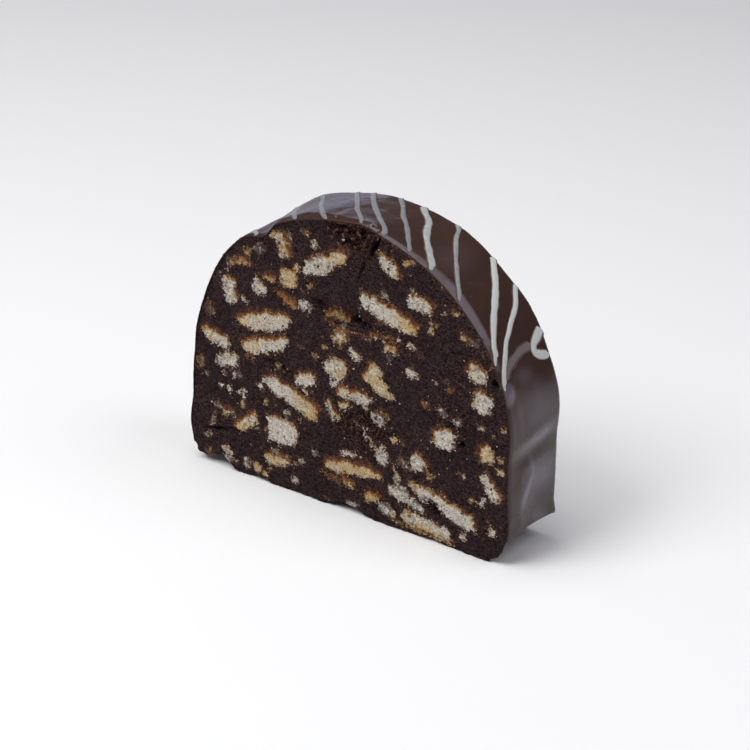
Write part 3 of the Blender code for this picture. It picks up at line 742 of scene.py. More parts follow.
FRONT_BITS = tuple(Bit(*row) for row in (
    (-23.8, 69.9, 2.2, 1.3, 80, 0.9), (-11.7, 52.5, 2.8, 1.8, 80, 0.1, 0.45),
    (-36.0, 27.8, 2.2, 0.9, 75, 0.0), (-27.4, 27.2, 1.4, 1.1, 0, 0.0), (-37.9, 23.3, 2.0, 1.3, 70, 0.1),
    (-40.6, 23.4, 0.9, 0.8, 0, 0.1), (-33.2, 23.2, 2.1, 1.2, 100, 0.0), (-34.7, 23.0, 0.9, 0.8, 0, 0.0),
    (-47.6, 28.5, 4.4, 2.6, 85, 1.1, 0.6), (-33.3, 20.1, 2.2, 1.6, 80, 0.9, 0.4),
    (-25.8, 22.8, 2.0, 1.3, 70, 0.8), (-19.2, 21.9, 2.1, 1.2, 5, 0.1),
    (-43.6, 12.1, 4.0, 1.5, 65, 0.5, 0.55), (-44.9, 8.2, 2.4, 1.3, 20, 0.5, 0.5),
    (-37.6, 3.2, 4.4, 2.0, -10, 0.1, 0.4), (-31.9, 3.3, 3.0, 2.3, 80, 0.2, 0.2),
    (-28.5, 3.1, 3.0, 2.4, 10, 0.8), (-25.6, 2.4, 1.5, 1.2, 0, 0.9), (-24.3, 4.1, 1.3, 1.0, 30, 0.6),
    (-16.3, 3.3, 2.3, 2.0, 20, 0.1, 0.3), (-13.6, 9.7, 2.3, 1.8, 40, 0.2, 0.35),
    (-15.8, 8.2, 1.8, 1.3, 0, 0.7, 0.5), (-9.4, 13.3, 2.0, 1.6, 0, 0.4, 0.45),
    (-33.0, 50.1, 2.3, 1.1, -35, 0.4, 0.1), (-32.0, 63.6, 3.2, 2.0, 10, 1.3, 0.45),
    (-44.5, 44.6, 3.4, 2.2, 80, 1.0, 0.7), (-4.0, 34.4, 2.2, 1.8, 30, 0.0),
    (-15.9, 62.9, 2.4, 1.8, 10, 0.9, 0.1), (-12.6, 73.0, 1.9, 0.8, -55, 0.9),
    (-10.4, 70.6, 2.2, 1.6, -30, 0.5, 0.4), (10.4, 73.2, 2.8, 2.0, 10, 1.2, 0.5),
    (18.2, 72.7, 3.6, 1.6, 30, 1.1, 0.2), (25.5, 57.7, 3.4, 1.3, 85, 0.9),
    (27.2, 58.6, 1.6, 0.9, 60, 1.4, 0.3), (29.3, 62.2, 1.4, 0.9, 20, 0.0),
    (32.5, 63.6, 3.2, 2.0, 10, 1.2, 0.4), (36.2, 57.7, 4.0, 1.8, -20, 1.3, 0.4),
    (19.7, 51.3, 3.2, 1.7, 5, 0.3, 0.15), (8.9, 50.6, 1.1, 0.7, 0, 0.0), (-0.5, 29.2, 3.6, 2.2, 15, 0.8),
    (9.9, 28.3, 4.6, 2.8, -20, 0.1, 0.25), (12.0, 30.4, 3.0, 1.8, -30, 1.3, 0.4),
    (15.3, 24.6, 2.6, 1.4, 30, 0.8), (5.8, 24.3, 1.5, 1.2, 0, 0.2), (6.0, 22.4, 1.6, 1.2, -50, 0.2, 0.1),
    (8.0, 21.3, 3.2, 0.9, -52, 0.5, 0.1), (-2.5, 25.5, 1.8, 1.2, 60, 0.5),
    (47.1, 28.4, 1.7, 1.4, 0, 0.8, 0.2), (47.2, 25.4, 1.5, 1.3, 0, 0.7),
    (25.7, 18.6, 4.4, 1.2, -68, 1.1, 0.1), (1.2, 16.4, 4.6, 1.8, 10, 0.1, 0.1),
    (16.6, 14.5, 2.7, 1.4, 95, 0.6, 0.2), (15.6, 16.9, 1.4, 1.1, 0, 0.5, 0.1),
    (19.7, 17.9, 1.3, 1.2, 0, 0.3), (42.1, 15.4, 2.7, 1.4, 70, 0.1, 0.3),
    (39.0, 15.2, 1.6, 1.1, 0, 1.0, 0.2), (36.6, 20.8, 1.0, 0.7, 80, 0.5),
    (25.0, 1.6, 19.0, 1.2, -3, 1.3, 0.1), (-4.2, 8.4, 6.8, 1.2, -11, 1.8, 0.2),
    (45.6, 8.5, 2.6, 2.3, 60, 0.3), (44.1, 10.8, 2.2, 1.2, -35, 0.7), (37.0, 4.1, 2.3, 1.6, -20, 0.0),
    (2.9, 2.4, 3.6, 1.3, 8, 0.1, 0.35), (29.5, 36.5, 3.2, 2.1, -10, 0.3, 0.55),
    (34.1, 34.8, 3.0, 2.2, 60, 0.1, 0.5), (41.0, 35.6, 2.2, 1.5, -20, 0.6, 0.4),
    (24.5, 36.7, 2.2, 1.3, -10, 1.6, 0.2), (47.7, 36.7, 1.4, 1.0, 0, 0.9, 0.4),
    (31.5, 42.6, 1.8, 1.4, 0, 1.6, 0.5), (-13.0, 30.0, 2.0, 0.9, -30, 0.6, 0.2),
    (-22.6, 33.9, 2.0, 1.1, -20, 0.5, 0.3), (-31.0, 34.6, 2.8, 1.0, 10, 1.4, 0.3),
    (-6.8, 44.0, 1.5, 1.1, 0, 1.0, 0.3), (-9.8, 40.6, 2.0, 1.2, 10, 0.9, 0.35),
    (6.0, 30.9, 2.0, 1.0, 30, 0.5, 0.2), (14.2, 35.8, 1.2, 0.8, 0, 0.5, 0.2),
    (22.6, 13.4, 5.6, 2.6, -14, 0.75, 0.2), (26.5, 13.8, 3.6, 1.6, -24, 1.0, 0.25),
    (18.2, 11.2, 5.2, 3.2, -32, 0.1, 0.4), (22.6, 8.6, 5.4, 2.6, -22, 0.05, 0.4),
    (13.2, 4.4, 4.6, 3.2, -18, 0.05, 0.4), (20.6, 4.0, 5.6, 3.8, -34, 0.55, 0.2),
    (29.6, 2.6, 7.4, 2.4, -12, 0.9, 0.15), (-4.4, 50.9, 5.2, 0.6, -16, 1.7, 0.35),
    (2.0, 50.2, 8.6, 0.6, 1, 1.8, 0.35), (10.6, 51.5, 7.4, 1.0, 9, 1.8, 0.3),
    (11.3, 50.5, 1.3, 0.6, -15, 0.0), (15.8, 52.0, 1.2, 0.5, 60, 0.0),
    (-28.2, 64.9, 3.4, 3.0, 20, 0.2, 0.72), (-44.2, 44.2, 3.2, 3.6, 20, 1.0, 0.8),
    (-13.8, 41.6, 3.0, 1.1, 8, 1.5, 0.6), (-24.5, 15.3, 3.0, 1.0, -6, 1.8, 0.35),
    (-2.0, 45.0, 2.4, 1.2, 30, 1.5, 0.6),
))


@dataclass(frozen=True)
class BitScatter:
    """Small bits strewn over a cut."""

    count: int
    seed: int
    lengths: Place
    veils: Place = (0.5, 0.95)
    across: Place = (-47.0, 47.0)
    up: Place = (2.0, 76.0)
    slimness: Place = (0.4, 0.85)
    tilts: Place = (-90.0, 90.0)
    bakes: Place = (0.0, 1.5)

    def bits(self) -> list[Bit]:
        """Strews more small bits than large ones.

        Returns:
            The bits.
        """
        draw = np.random.default_rng(self.seed)
        made = []
        for _ in range(self.count):
            length = self.lengths[0] + (self.lengths[1] - self.lengths[0]) * draw.random() ** 2
            made.append(Bit(
                draw.uniform(*self.across), draw.uniform(*self.up), length,
                length * draw.uniform(*self.slimness), draw.uniform(*self.tilts),
                draw.uniform(*self.bakes), draw.uniform(*self.veils),
            ))
        return made


FRONT_SCATTERS = (BitScatter(90, 21, (0.8, 3.4)),)
BACK_SCATTERS = (BitScatter(130, 8, (1.0, 4.8), veils=(-0.3, 0.6)), BitScatter(90, 22, (0.8, 3.4)))


@dataclass
class Biscuit:
    """A broken biscuit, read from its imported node: its outline at each cut that it meets, and its tail."""

    node: str
    look: BiscuitLook
    slot: str
    levels: np.ndarray
    outlines: list[np.ndarray]
    point_gap: float = 0.4
    cut_apart: float = 5.0
    chips: tuple[Place, Place] = ((0.5, 1.9), (0.35, 0.9))

    @classmethod
    def of_node(cls, node: str, look: BiscuitLook, slot: str) -> "Biscuit":
        """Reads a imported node's rings.

        Args:
            node: the node's name.
            look: how the biscuit is baked.
            slot: the record's finish.

        Returns:
            The biscuit, with smooth and chipped outlines.
        """
        corners = np.unique(np.round(places_of(frame["nodes"][node]), 3), axis=0)
        depths = np.round(corners[:, 1], 2)
        levels = np.unique(depths)
        rings = []
        for level in levels:
            ring = corners[depths == level][:, [0, 2]]
            middle = ring.mean(axis=0)
            rings.append(ring[np.argsort(np.arctan2(*(ring - middle).T[::-1]))])
        return cls(node, look, slot, levels, rings)

    @property
    def number(self) -> int:
        """The number at the end of the node's name."""
        return int(self.node[-2:])

    @property
    def cuts(self) -> tuple[Cut, ...]:
        """The cuts that the biscuit meets.

        Returns:
            The cuts, the front one first.
        """
        if "through" in self.node:
            return Cut.FRONT, Cut.BACK
        return (Cut.BACK,) if "back" in self.node else (Cut.FRONT,)

    def outline(self, cut: Cut, size: float = 1.0) -> np.ndarray:
        """Chips the biscuit's outline.

        Args:
            cut: the cut where it is taken, or that its tail is nearer to.
            size: how deep the chips are, as a share of their full depth.

        Returns:
            The outline's points across and up.
        """
        if cut is Cut.FRONT:
            index = 1 if Cut.FRONT in self.cuts else 0
        else:
            index = -2 if Cut.BACK in self.cuts else -1
        loop = smooth_way(self.outlines[index], self.point_gap, closed=True)
        solid = np.column_stack([loop[:, 0], np.full(len(loop), cut.value * self.cut_apart), loop[:, 1]])
        chips = sum(height * unevenness(solid, reach, self.number) for height, reach in self.chips)
        return loop + near_loop(loop, loop).outward * (chips[:, None] * size)


class CutPattern:
    """What shows in one cut: the distance to the nearest edge of biscuit, and its bake, crust and veil."""

    reach = 3.0
    bit_veil = 0.12
    bit_crust = 80.0
    bit_crust_share = 0.3
    crust_facing = (-0.2, 0.8)
    layers = ("biscuit", "bake", "crust", "veil")

    def __init__(self, cut: Cut, biscuits: list[Biscuit], bits: list[Bit]) -> None:
        """Gathers the outlines that show in a cut.

        Args:
            cut: the cut.
            biscuits: every biscuit, those that don't meet the cut too.
            bits: the cut's small bits.
        """
        self.shapes = [
            (biscuit.outline(cut), biscuit.look) for biscuit in biscuits if cut in biscuit.cuts
        ]
        self.shapes += [(bit.loop(), self.bit_look(bit)) for bit in bits]

    def bit_look(self, bit: Bit) -> BiscuitLook:
        """How a small bit looks."""
        return BiscuitLook(bit.bake, bit.bake, self.bit_crust, bit.veil + self.bit_veil, self.bit_crust_share)

    def read(self, places: np.ndarray) -> dict[str, np.ndarray]:
        """Reads the pattern at places across and up.

        Args:
            places: the places, one row each.

        Returns:
            One number a place for each layer.
        """
        found = {name: np.zeros(len(places)) for name in self.layers}
        found["biscuit"] -= self.reach
        for loop, look in self.shapes:
            low, high = loop.min(axis=0), loop.max(axis=0)
            near = ((places > low - self.reach) & (places < high + self.reach)).all(axis=1)
            if not near.any():
                continue
            here = places[near]
            nearness = near_loop(here, loop)
            toward = math.radians(look.crust)
            facing = nearness.outward @ (math.cos(toward), math.sin(toward))
            share = np.clip((here[:, 0] - low[0]) / (high[0] - low[0]), 0.0, 1.0)
            values = {
                "biscuit": nearness.distance,
                "bake": look.left + (look.right - look.left) * share,
                "crust": ease(facing, *self.crust_facing) * look.crust_share,
                "veil": np.full(len(here), look.veil),
            }
            nearer = nearness.distance > found["biscuit"][near]
            for name, numbers in values.items():
                layer = found[name][near]
                layer[nearer] = numbers[nearer]
                found[name][near] = layer
        return found


# Shader maths


class Signal:
    """A number that changes over a surface: a socket that takes part in sums."""

    def __init__(self, nodes: "Nodes", socket: bpy.types.NodeSocket) -> None:
        """Wraps an output socket of one of the nodes."""
        self.nodes = nodes
        self.socket = socket

    def math(self, operation: str, *values: "Signal | float") -> "Signal":
        """The result of a Math node on values."""
        node = self.nodes.node("ShaderNodeMath", {"operation": operation}, dict(enumerate(values)))
        return Signal(self.nodes, node.outputs[0])

    def __add__(self, other: "Signal | float") -> "Signal":
        """This number plus another."""
        return self.math("ADD", self, other)

    def __sub__(self, other: "Signal | float") -> "Signal":
        """This number less another."""
        return self.math("SUBTRACT", self, other)

    def __rsub__(self, other: float) -> "Signal":
        """Another number less this one."""
        return self.math("SUBTRACT", other, self)

    def __mul__(self, other: "Signal | float") -> "Signal":
        """This number times another."""
        return self.math("MULTIPLY", self, other)

    __radd__ = __add__
    __rmul__ = __mul__

    def most(self, other: "Signal | float") -> "Signal":
        """The larger of this number and another."""
        return self.math("MAXIMUM", self, other)

    def step(self, low: float, high: float) -> "Signal":
        """A smooth step over this number.

        Args:
            low: the number where the step is 0.
            high: the number where it is 1.

        Returns:
            The step.
        """
        node = self.nodes.node(
            "ShaderNodeMapRange", {"interpolation_type": "SMOOTHSTEP", "clamp": True},
            {"Value": self, "From Min": low, "From Max": high},
        )
        return Signal(self.nodes, node.outputs[0])


class Nodes:
    """The nodes of a material or of the sky."""

    def __init__(self, tree: bpy.types.NodeTree) -> None:
        """Works on a node tree."""
        self.tree = tree

    def node(
        self, kind: str, settings: dict[str, str | bool] | None = None, values: dict | None = None
    ) -> bpy.types.Node:
        """Adds a node.

        Args:
            kind: the node's type.
            settings: its settings, which are set first.
            values: a number, colour, socket or signal for each input, by name or index.

        Returns:
            The node.
        """
        made = self.tree.nodes.new(kind)
        for name, setting in (settings or {}).items():
            setattr(made, name, setting)
        for name, value in (values or {}).items():
            self.feed(made.inputs[name], value)
        return made

    def feed(
        self, socket: bpy.types.NodeSocket, value: "Signal | bpy.types.NodeSocket | Triple | float"
    ) -> None:
        """Links or sets one input.

        Args:
            socket: the input.
            value: what it takes.
        """
        if isinstance(value, Signal):
            value = value.socket
        if isinstance(value, bpy.types.NodeSocket):
            self.tree.links.new(value, socket)
        elif isinstance(value, tuple) and socket.type == "RGBA":
            socket.default_value = (*value, 1.0)
        else:
            socket.default_value = value

    def mix(self, share: Signal | float, start: "bpy.types.NodeSocket | Colour",
            end: "bpy.types.NodeSocket | Colour") -> bpy.types.NodeSocket:
        """A colour that goes from start to end as the share goes from 0 to 1."""
        node = self.node("ShaderNodeMix", {"data_type": "RGBA"}, {0: share, 6: start, 7: end})
        return node.outputs[2]


class Recipe(Nodes):
    """A material with its one shader."""

    roughness = 0.6

    def __init__(self, name: str) -> None:
        """Starts the material.

        Args:
            name: the material's name.
        """
        self.material = bpy.data.materials.new(name)
        self.material.use_nodes = True
        super().__init__(self.material.node_tree)
        self.shader = self.tree.nodes["Principled BSDF"]

    def give(self, **looks: "Signal | bpy.types.NodeSocket | Triple | float") -> None:
        """Feeds the shader's inputs, each named with underscores for spaces."""
        for name, value in looks.items():
            self.feed(self.shader.inputs[name.replace("_", " ")], value)

    def place(self, shift: float = 0.0) -> bpy.types.NodeSocket:
        """Reads the place on the object.

        Args:
            shift: how far the place is moved, for another pattern.

        Returns:
            The place in millimetres.
        """
        source = self.node("ShaderNodeTexCoord").outputs["Object"]
        return self.node(
            "ShaderNodeVectorMath", {"operation": "MULTIPLY_ADD"},
            {0: source, 1: (1 / MM, 1 / MM, 1 / MM), 2: (shift, shift, shift)},
        ).outputs[0]

    def grain(
        self, size: float, detail: float = 2.0, shift: float = 0.0, stretch: Triple | None = None
    ) -> Signal:
        """Smooth random numbers about 0, from -0.5 to 0.5.

        Args:
            size: the size of the lumps in millimetres.
            detail: how many finer steps of lumps are added.
            shift: picks another pattern.
            stretch: what the place is multiplied by along each axis.

        Returns:
            The numbers.
        """
        place = self.place(shift)
        if stretch:
            scaled = self.node("ShaderNodeVectorMath", {"operation": "MULTIPLY"}, {0: place, 1: stretch})
            place = scaled.outputs[0]
        values = {"Vector": place, "Scale": 1 / size, "Detail": detail, "Roughness": self.roughness}
        return Signal(self, self.node("ShaderNodeTexNoise", values=values).outputs[0]) - 0.5

    def layer(self, name: str) -> Signal:
        """A number that the mesh holds at each vertex."""
        return Signal(self, self.node("ShaderNodeAttribute", {"attribute_name": name}).outputs["Fac"])

    def relief(self, height: Signal, distance: float) -> bpy.types.NodeSocket:
        """A normal bent by a height of 0 to 1 that stands for a distance in millimetres."""
        node = self.node("ShaderNodeBump", values={"Distance": distance * MM, "Height": height})
        return node.outputs["Normal"]


class Finish(Protocol):
    """A finish: its name, and how its material is built."""

    name: str

    def material(self) -> bpy.types.Material:
        """Builds the material."""


@dataclass(frozen=True)
class CutFinish:
    """Broken biscuit and dark chocolate at a cut: pale to toasted crumb, ragged edges, pores and dust, and
    near-black painted shade in pits and deep hollows.
    """

    name: str = "cut_finish"
    pale: Colour = (0.60, 0.557, 0.475)
    bright: Colour = (0.86, 0.845, 0.80)
    golden: Colour = (0.58, 0.40, 0.16)
    toasted: Colour = (0.27, 0.10, 0.034)
    burnt: Colour = (0.10, 0.036, 0.017)
    shade: Colour = (0.27, 0.18, 0.11)
    umber: Colour = (0.14, 0.054, 0.029)
    chocolate: Colour = (0.009, 0.0045, 0.005)
    ridge: Colour = (0.058, 0.033, 0.033)
    cocoa: Colour = (0.17, 0.068, 0.038)
    pit_shade: Colour = (0.001, 0.0008, 0.0008)
    dragged: Triple = (0.65, 1.0, 1.15)
    relief: float = 0.6
    gloss: float = 0.08

    def crumb(self, recipe: Recipe, rim: Signal, fine: Signal) -> bpy.types.NodeSocket:
        """The biscuit's colour.

        Args:
            recipe: the recipe that the colour is for.
            rim: how much of the baked crust is here, 0 to 1.
            fine: the finest grain.

        Returns:
            The colour.
        """
        bake = recipe.layer("bake") + recipe.grain(1.9, 2, 11) * 2.0 + rim * 1.5
        colour = recipe.mix(bake.step(0.2, 1.2), self.pale, self.golden)
        colour = recipe.mix((bake - 1.0).step(0.0, 1.0), colour, self.toasted)
        colour = recipe.mix((rim + recipe.grain(0.8, 2, 3) * 1.4).step(0.45, 1.1) * 0.85, colour, self.burnt)
        stain = recipe.grain(0.8, 2, 91) + rim * 0.12
        colour = recipe.mix(stain.step(0.06, 0.24) * 0.65, colour, self.toasted)
        speckle = 1 - (bake - 1.2).step(0.0, 0.6) * 0.75
        dim = (0 - recipe.grain(0.5, 2, 23)).step(0.02, 0.16) * speckle * 0.5
        colour = recipe.mix(dim, colour, self.shade)
        light = (0.8 - bake.step(0.1, 1.1) * 0.6) * speckle
        return recipe.mix(fine.step(0.02, 0.15) * light, colour, self.bright)

    def ground(self, recipe: Recipe, fine: Signal, halo: Signal) -> bpy.types.NodeSocket:
        """The chocolate's colour.

        Args:
            recipe: the recipe that the colour is for.
            fine: the finest grain.
            halo: how far the biscuit's brown has soaked in here, 0 to 1.

        Returns:
            The colour.
        """
        loose = recipe.layer("loose")
        patches = recipe.grain(6.0, 1, 67)
        busy = (patches + loose * 0.25).step(-0.15, 0.25)
        tone = fine * (1.0 + busy * 1.1) + recipe.grain(1.3, 3, 19, self.dragged) * 0.3 + patches * 0.25
        colour = recipe.mix(tone.step(-0.24, 0.26), self.chocolate, self.ridge)
        brown = (recipe.grain(0.5, 2, 37) + loose * 0.10 + patches * 0.12).step(0.12, 0.2)
        colour = recipe.mix(brown * (0.36 + loose * 0.5), colour, self.cocoa)
        colour = recipe.mix(halo * 0.75, colour, self.umber)
        # pits and deep hollows take a near-black painted shade
        pits = (recipe.grain(0.5, 2, 43, self.dragged) + loose * 0.05 + busy * 0.04).step(0.10, 0.155)
        return recipe.mix(pits.most(recipe.layer("hollow")), colour, self.pit_shade)

    def material(self) -> bpy.types.Material:
        """Builds the material.

        Returns:
            The material, for the body and for the biscuits.
        """
        recipe = Recipe(self.name)
        wander = recipe.grain(2.6, 2, 7)
        ragged = recipe.grain(0.9, 3)
        fine = recipe.grain(0.4, 1, 31, self.dragged)
        crumbs = recipe.grain(0.5, 2, 57)
        holes = (recipe.grain(1.4, 3, 29) + crumbs * 0.3).step(0.13, 0.18)
        flecks = (recipe.grain(4.5, 1, 101) - 0.11) * 12 - (1 - recipe.layer("base")) * 8
        biscuit, crust = recipe.layer("biscuit").most(flecks), recipe.layer("crust")
        veil = recipe.layer("veil")
        place = biscuit + wander * 2.2 + ragged * 2.4 + fine * 1.8
        halo = (place + crust * 0.55).step(-1.0, 0.35) * (0.72 + recipe.grain(0.5, 2, 5) * 3.2)
        pores = (crumbs + (1 - biscuit.step(0.0, 1.5)) * (0.06 - crust * 0.05)).step(0.09, 0.16).most(holes)
        film = (veil + recipe.grain(1.2, 3, 83) * 2.2).step(0.1, 0.95)
        shown = (place + crust * 0.25).step(-0.22, 0.34) * (1 - pores * 0.68) * (1 - film * 0.88)
        rim = crust * (1 - (biscuit + wander * 2.0 + ragged * 2.2).step(0.0, 1.3))
        ground = self.ground(recipe, fine, halo * (1 - film * 0.7))
        height = ragged * 0.6 + fine * 0.7 + crumbs * 0.35 - pores * 0.3 + 0.5
        recipe.give(
            Base_Color=recipe.mix(shown, ground, self.crumb(recipe, rim, fine)),
            Roughness=0.68 + shown * 0.24 + fine * 0.2,
            Normal=recipe.relief(height, self.relief),
            Specular_IOR_Level=self.gloss,
        )
        return recipe.material


@dataclass(frozen=True)
class CoatingFinish:
    """Set dark chocolate: a soft gloss over slow ripples, with patches of painted highlight, and dull along
    the knife's bevel, whose paler colour is a painted sheen.
    """

    name: str = "dark_coating_finish"
    colour: Colour = (0.044, 0.021, 0.015)
    warm: Colour = (0.052, 0.024, 0.0155)
    painted_highlight: Colour = (0.240, 0.212, 0.268)
    bevel_sheen: Colour = (0.112, 0.087, 0.094)
    section: Colour = (0.034, 0.013, 0.009)
    dust: Colour = (0.30, 0.25, 0.22)
    reflection: Colour = (0.88, 0.89, 1.0)
    streaked: Triple = (0.14, 1.0, 0.14)
    relief: float = 0.45
    gloss: float = 0.38

    def material(self) -> bpy.types.Material:
        """Builds the material.

        Returns:
            The material.
        """
        recipe = Recipe(self.name)
        slow = recipe.grain(9.0, 2)
        lip = recipe.layer("lip") * (0.85 + recipe.grain(1.8, 2, 61))
        colour = recipe.mix(slow.step(-0.15, 0.2), self.colour, self.warm)
        section = recipe.layer("section")
        # painted highlight: paler mauve patches that stand for reflections, painted into the coating's colour
        painted_highlight = recipe.layer("painted_highlight") * (1 + recipe.grain(4.0, 1, 71) * 0.6)
        colour = recipe.mix(painted_highlight, colour, self.painted_highlight)
        # painted sheen: the paler mauve along the bevel stands for light caught by its rounded edge
        colour = recipe.mix(lip, colour, self.bevel_sheen)
        colour = recipe.mix(section.step(0.2, 0.8), colour, self.section)
        specks = recipe.grain(0.5, 0, 13).step(0.37, 0.41)
        drag = recipe.layer("drag")
        streaks = recipe.grain(1.6, 2, 47, self.streaked) * drag
        height = slow * (0.3 + drag * 0.6) + streaks * 0.25 + 0.5
        recipe.give(
            Base_Color=recipe.mix(specks * 0.6, colour, self.dust),
            Roughness=0.22 + slow * 0.1 + lip * 0.16 + section * 0.5 + drag * 0.08 + painted_highlight * 0.15,
            Normal=recipe.relief(height, self.relief),
            Specular_Tint=self.reflection,
            Specular_IOR_Level=self.gloss,
        )
        return recipe.material


@dataclass(frozen=True)
class DrizzleFinish:
    """Set white chocolate, greyer where the dark coating shows through it, and brown along its edges, partly
    its own edge colour and partly painted contact shade.
    """

    name: str = "white_drizzle_finish"
    white: Colour = (0.60, 0.62, 0.61)
    thin: Colour = (0.215, 0.218, 0.235)
    edge: Colour = (0.105, 0.057, 0.035)
    relief: float = 0.04
    gloss: float = 0.22

    def material(self) -> bpy.types.Material:
        """Builds the material.

        Returns:
            The material.
        """
        recipe = Recipe(self.name)
        body = recipe.layer("body") + recipe.grain(1.4, 2) * 0.35
        colour = recipe.mix(body.step(0.15, 0.85), self.thin, self.white)
        recipe.give(
            # the dark brown on each line's low sides is partly its own colour and partly painted shade where
            # it meets the coating
            Base_Color=recipe.mix(recipe.layer("top").step(0.1, 0.6), self.edge, colour),
            Roughness=0.42 + recipe.grain(0.8, 2, 5) * 0.2,
            Normal=recipe.relief(recipe.grain(0.5, 2, 9) + 0.5, self.relief),
            Specular_IOR_Level=self.gloss,
        )
        return recipe.material


@dataclass(frozen=True)
class FilmFinish:
    """A thin film of white chocolate that the dark coating shows through."""

    name: str = "thin_film_finish"
    colour: Colour = (0.180, 0.152, 0.145)
    dark: Colour = (0.050, 0.026, 0.019)
    gloss: float = 0.38

    def material(self) -> bpy.types.Material:
        """Builds the material.

        Returns:
            The material.
        """
        recipe = Recipe(self.name)
        body = recipe.layer("body") + recipe.grain(1.0, 2) * 0.4
        share = body.step(0.1, 0.6) * recipe.layer("top").step(0.05, 0.95)
        recipe.give(
            Base_Color=recipe.mix(share, self.dark, self.colour),
            Roughness=0.34 + recipe.grain(0.8, 2, 5) * 0.2,
            Specular_IOR_Level=self.gloss,
        )
        return recipe.material


@dataclass(frozen=True)
class CrumbFinish:
    """Loose crumbs of chocolate or biscuit."""

    name: str
    light: Colour
    dark: Colour
    gloss: float = 0.2

    def material(self) -> bpy.types.Material:
        """Builds the material.

        Returns:
            The material.
        """
        recipe = Recipe(self.name)
        tone = recipe.grain(0.6, 2) + recipe.grain(0.25, 1, 9)
        recipe.give(
            Base_Color=recipe.mix(tone.step(-0.15, 0.2), self.dark, self.light),
            Roughness=0.75 + tone * 0.2,
            Specular_IOR_Level=self.gloss,
        )
        return recipe.material


# The pieces


class Maker:
    """What makes a piece and dresses it."""

    finish: Finish

    def dress(self, piece: bpy.types.Object) -> None:
        """Gives the piece its finish, which is built once for all that share it."""
        made = bpy.data.materials.get(self.finish.name)
        piece.data.materials.append(made or self.finish.material())


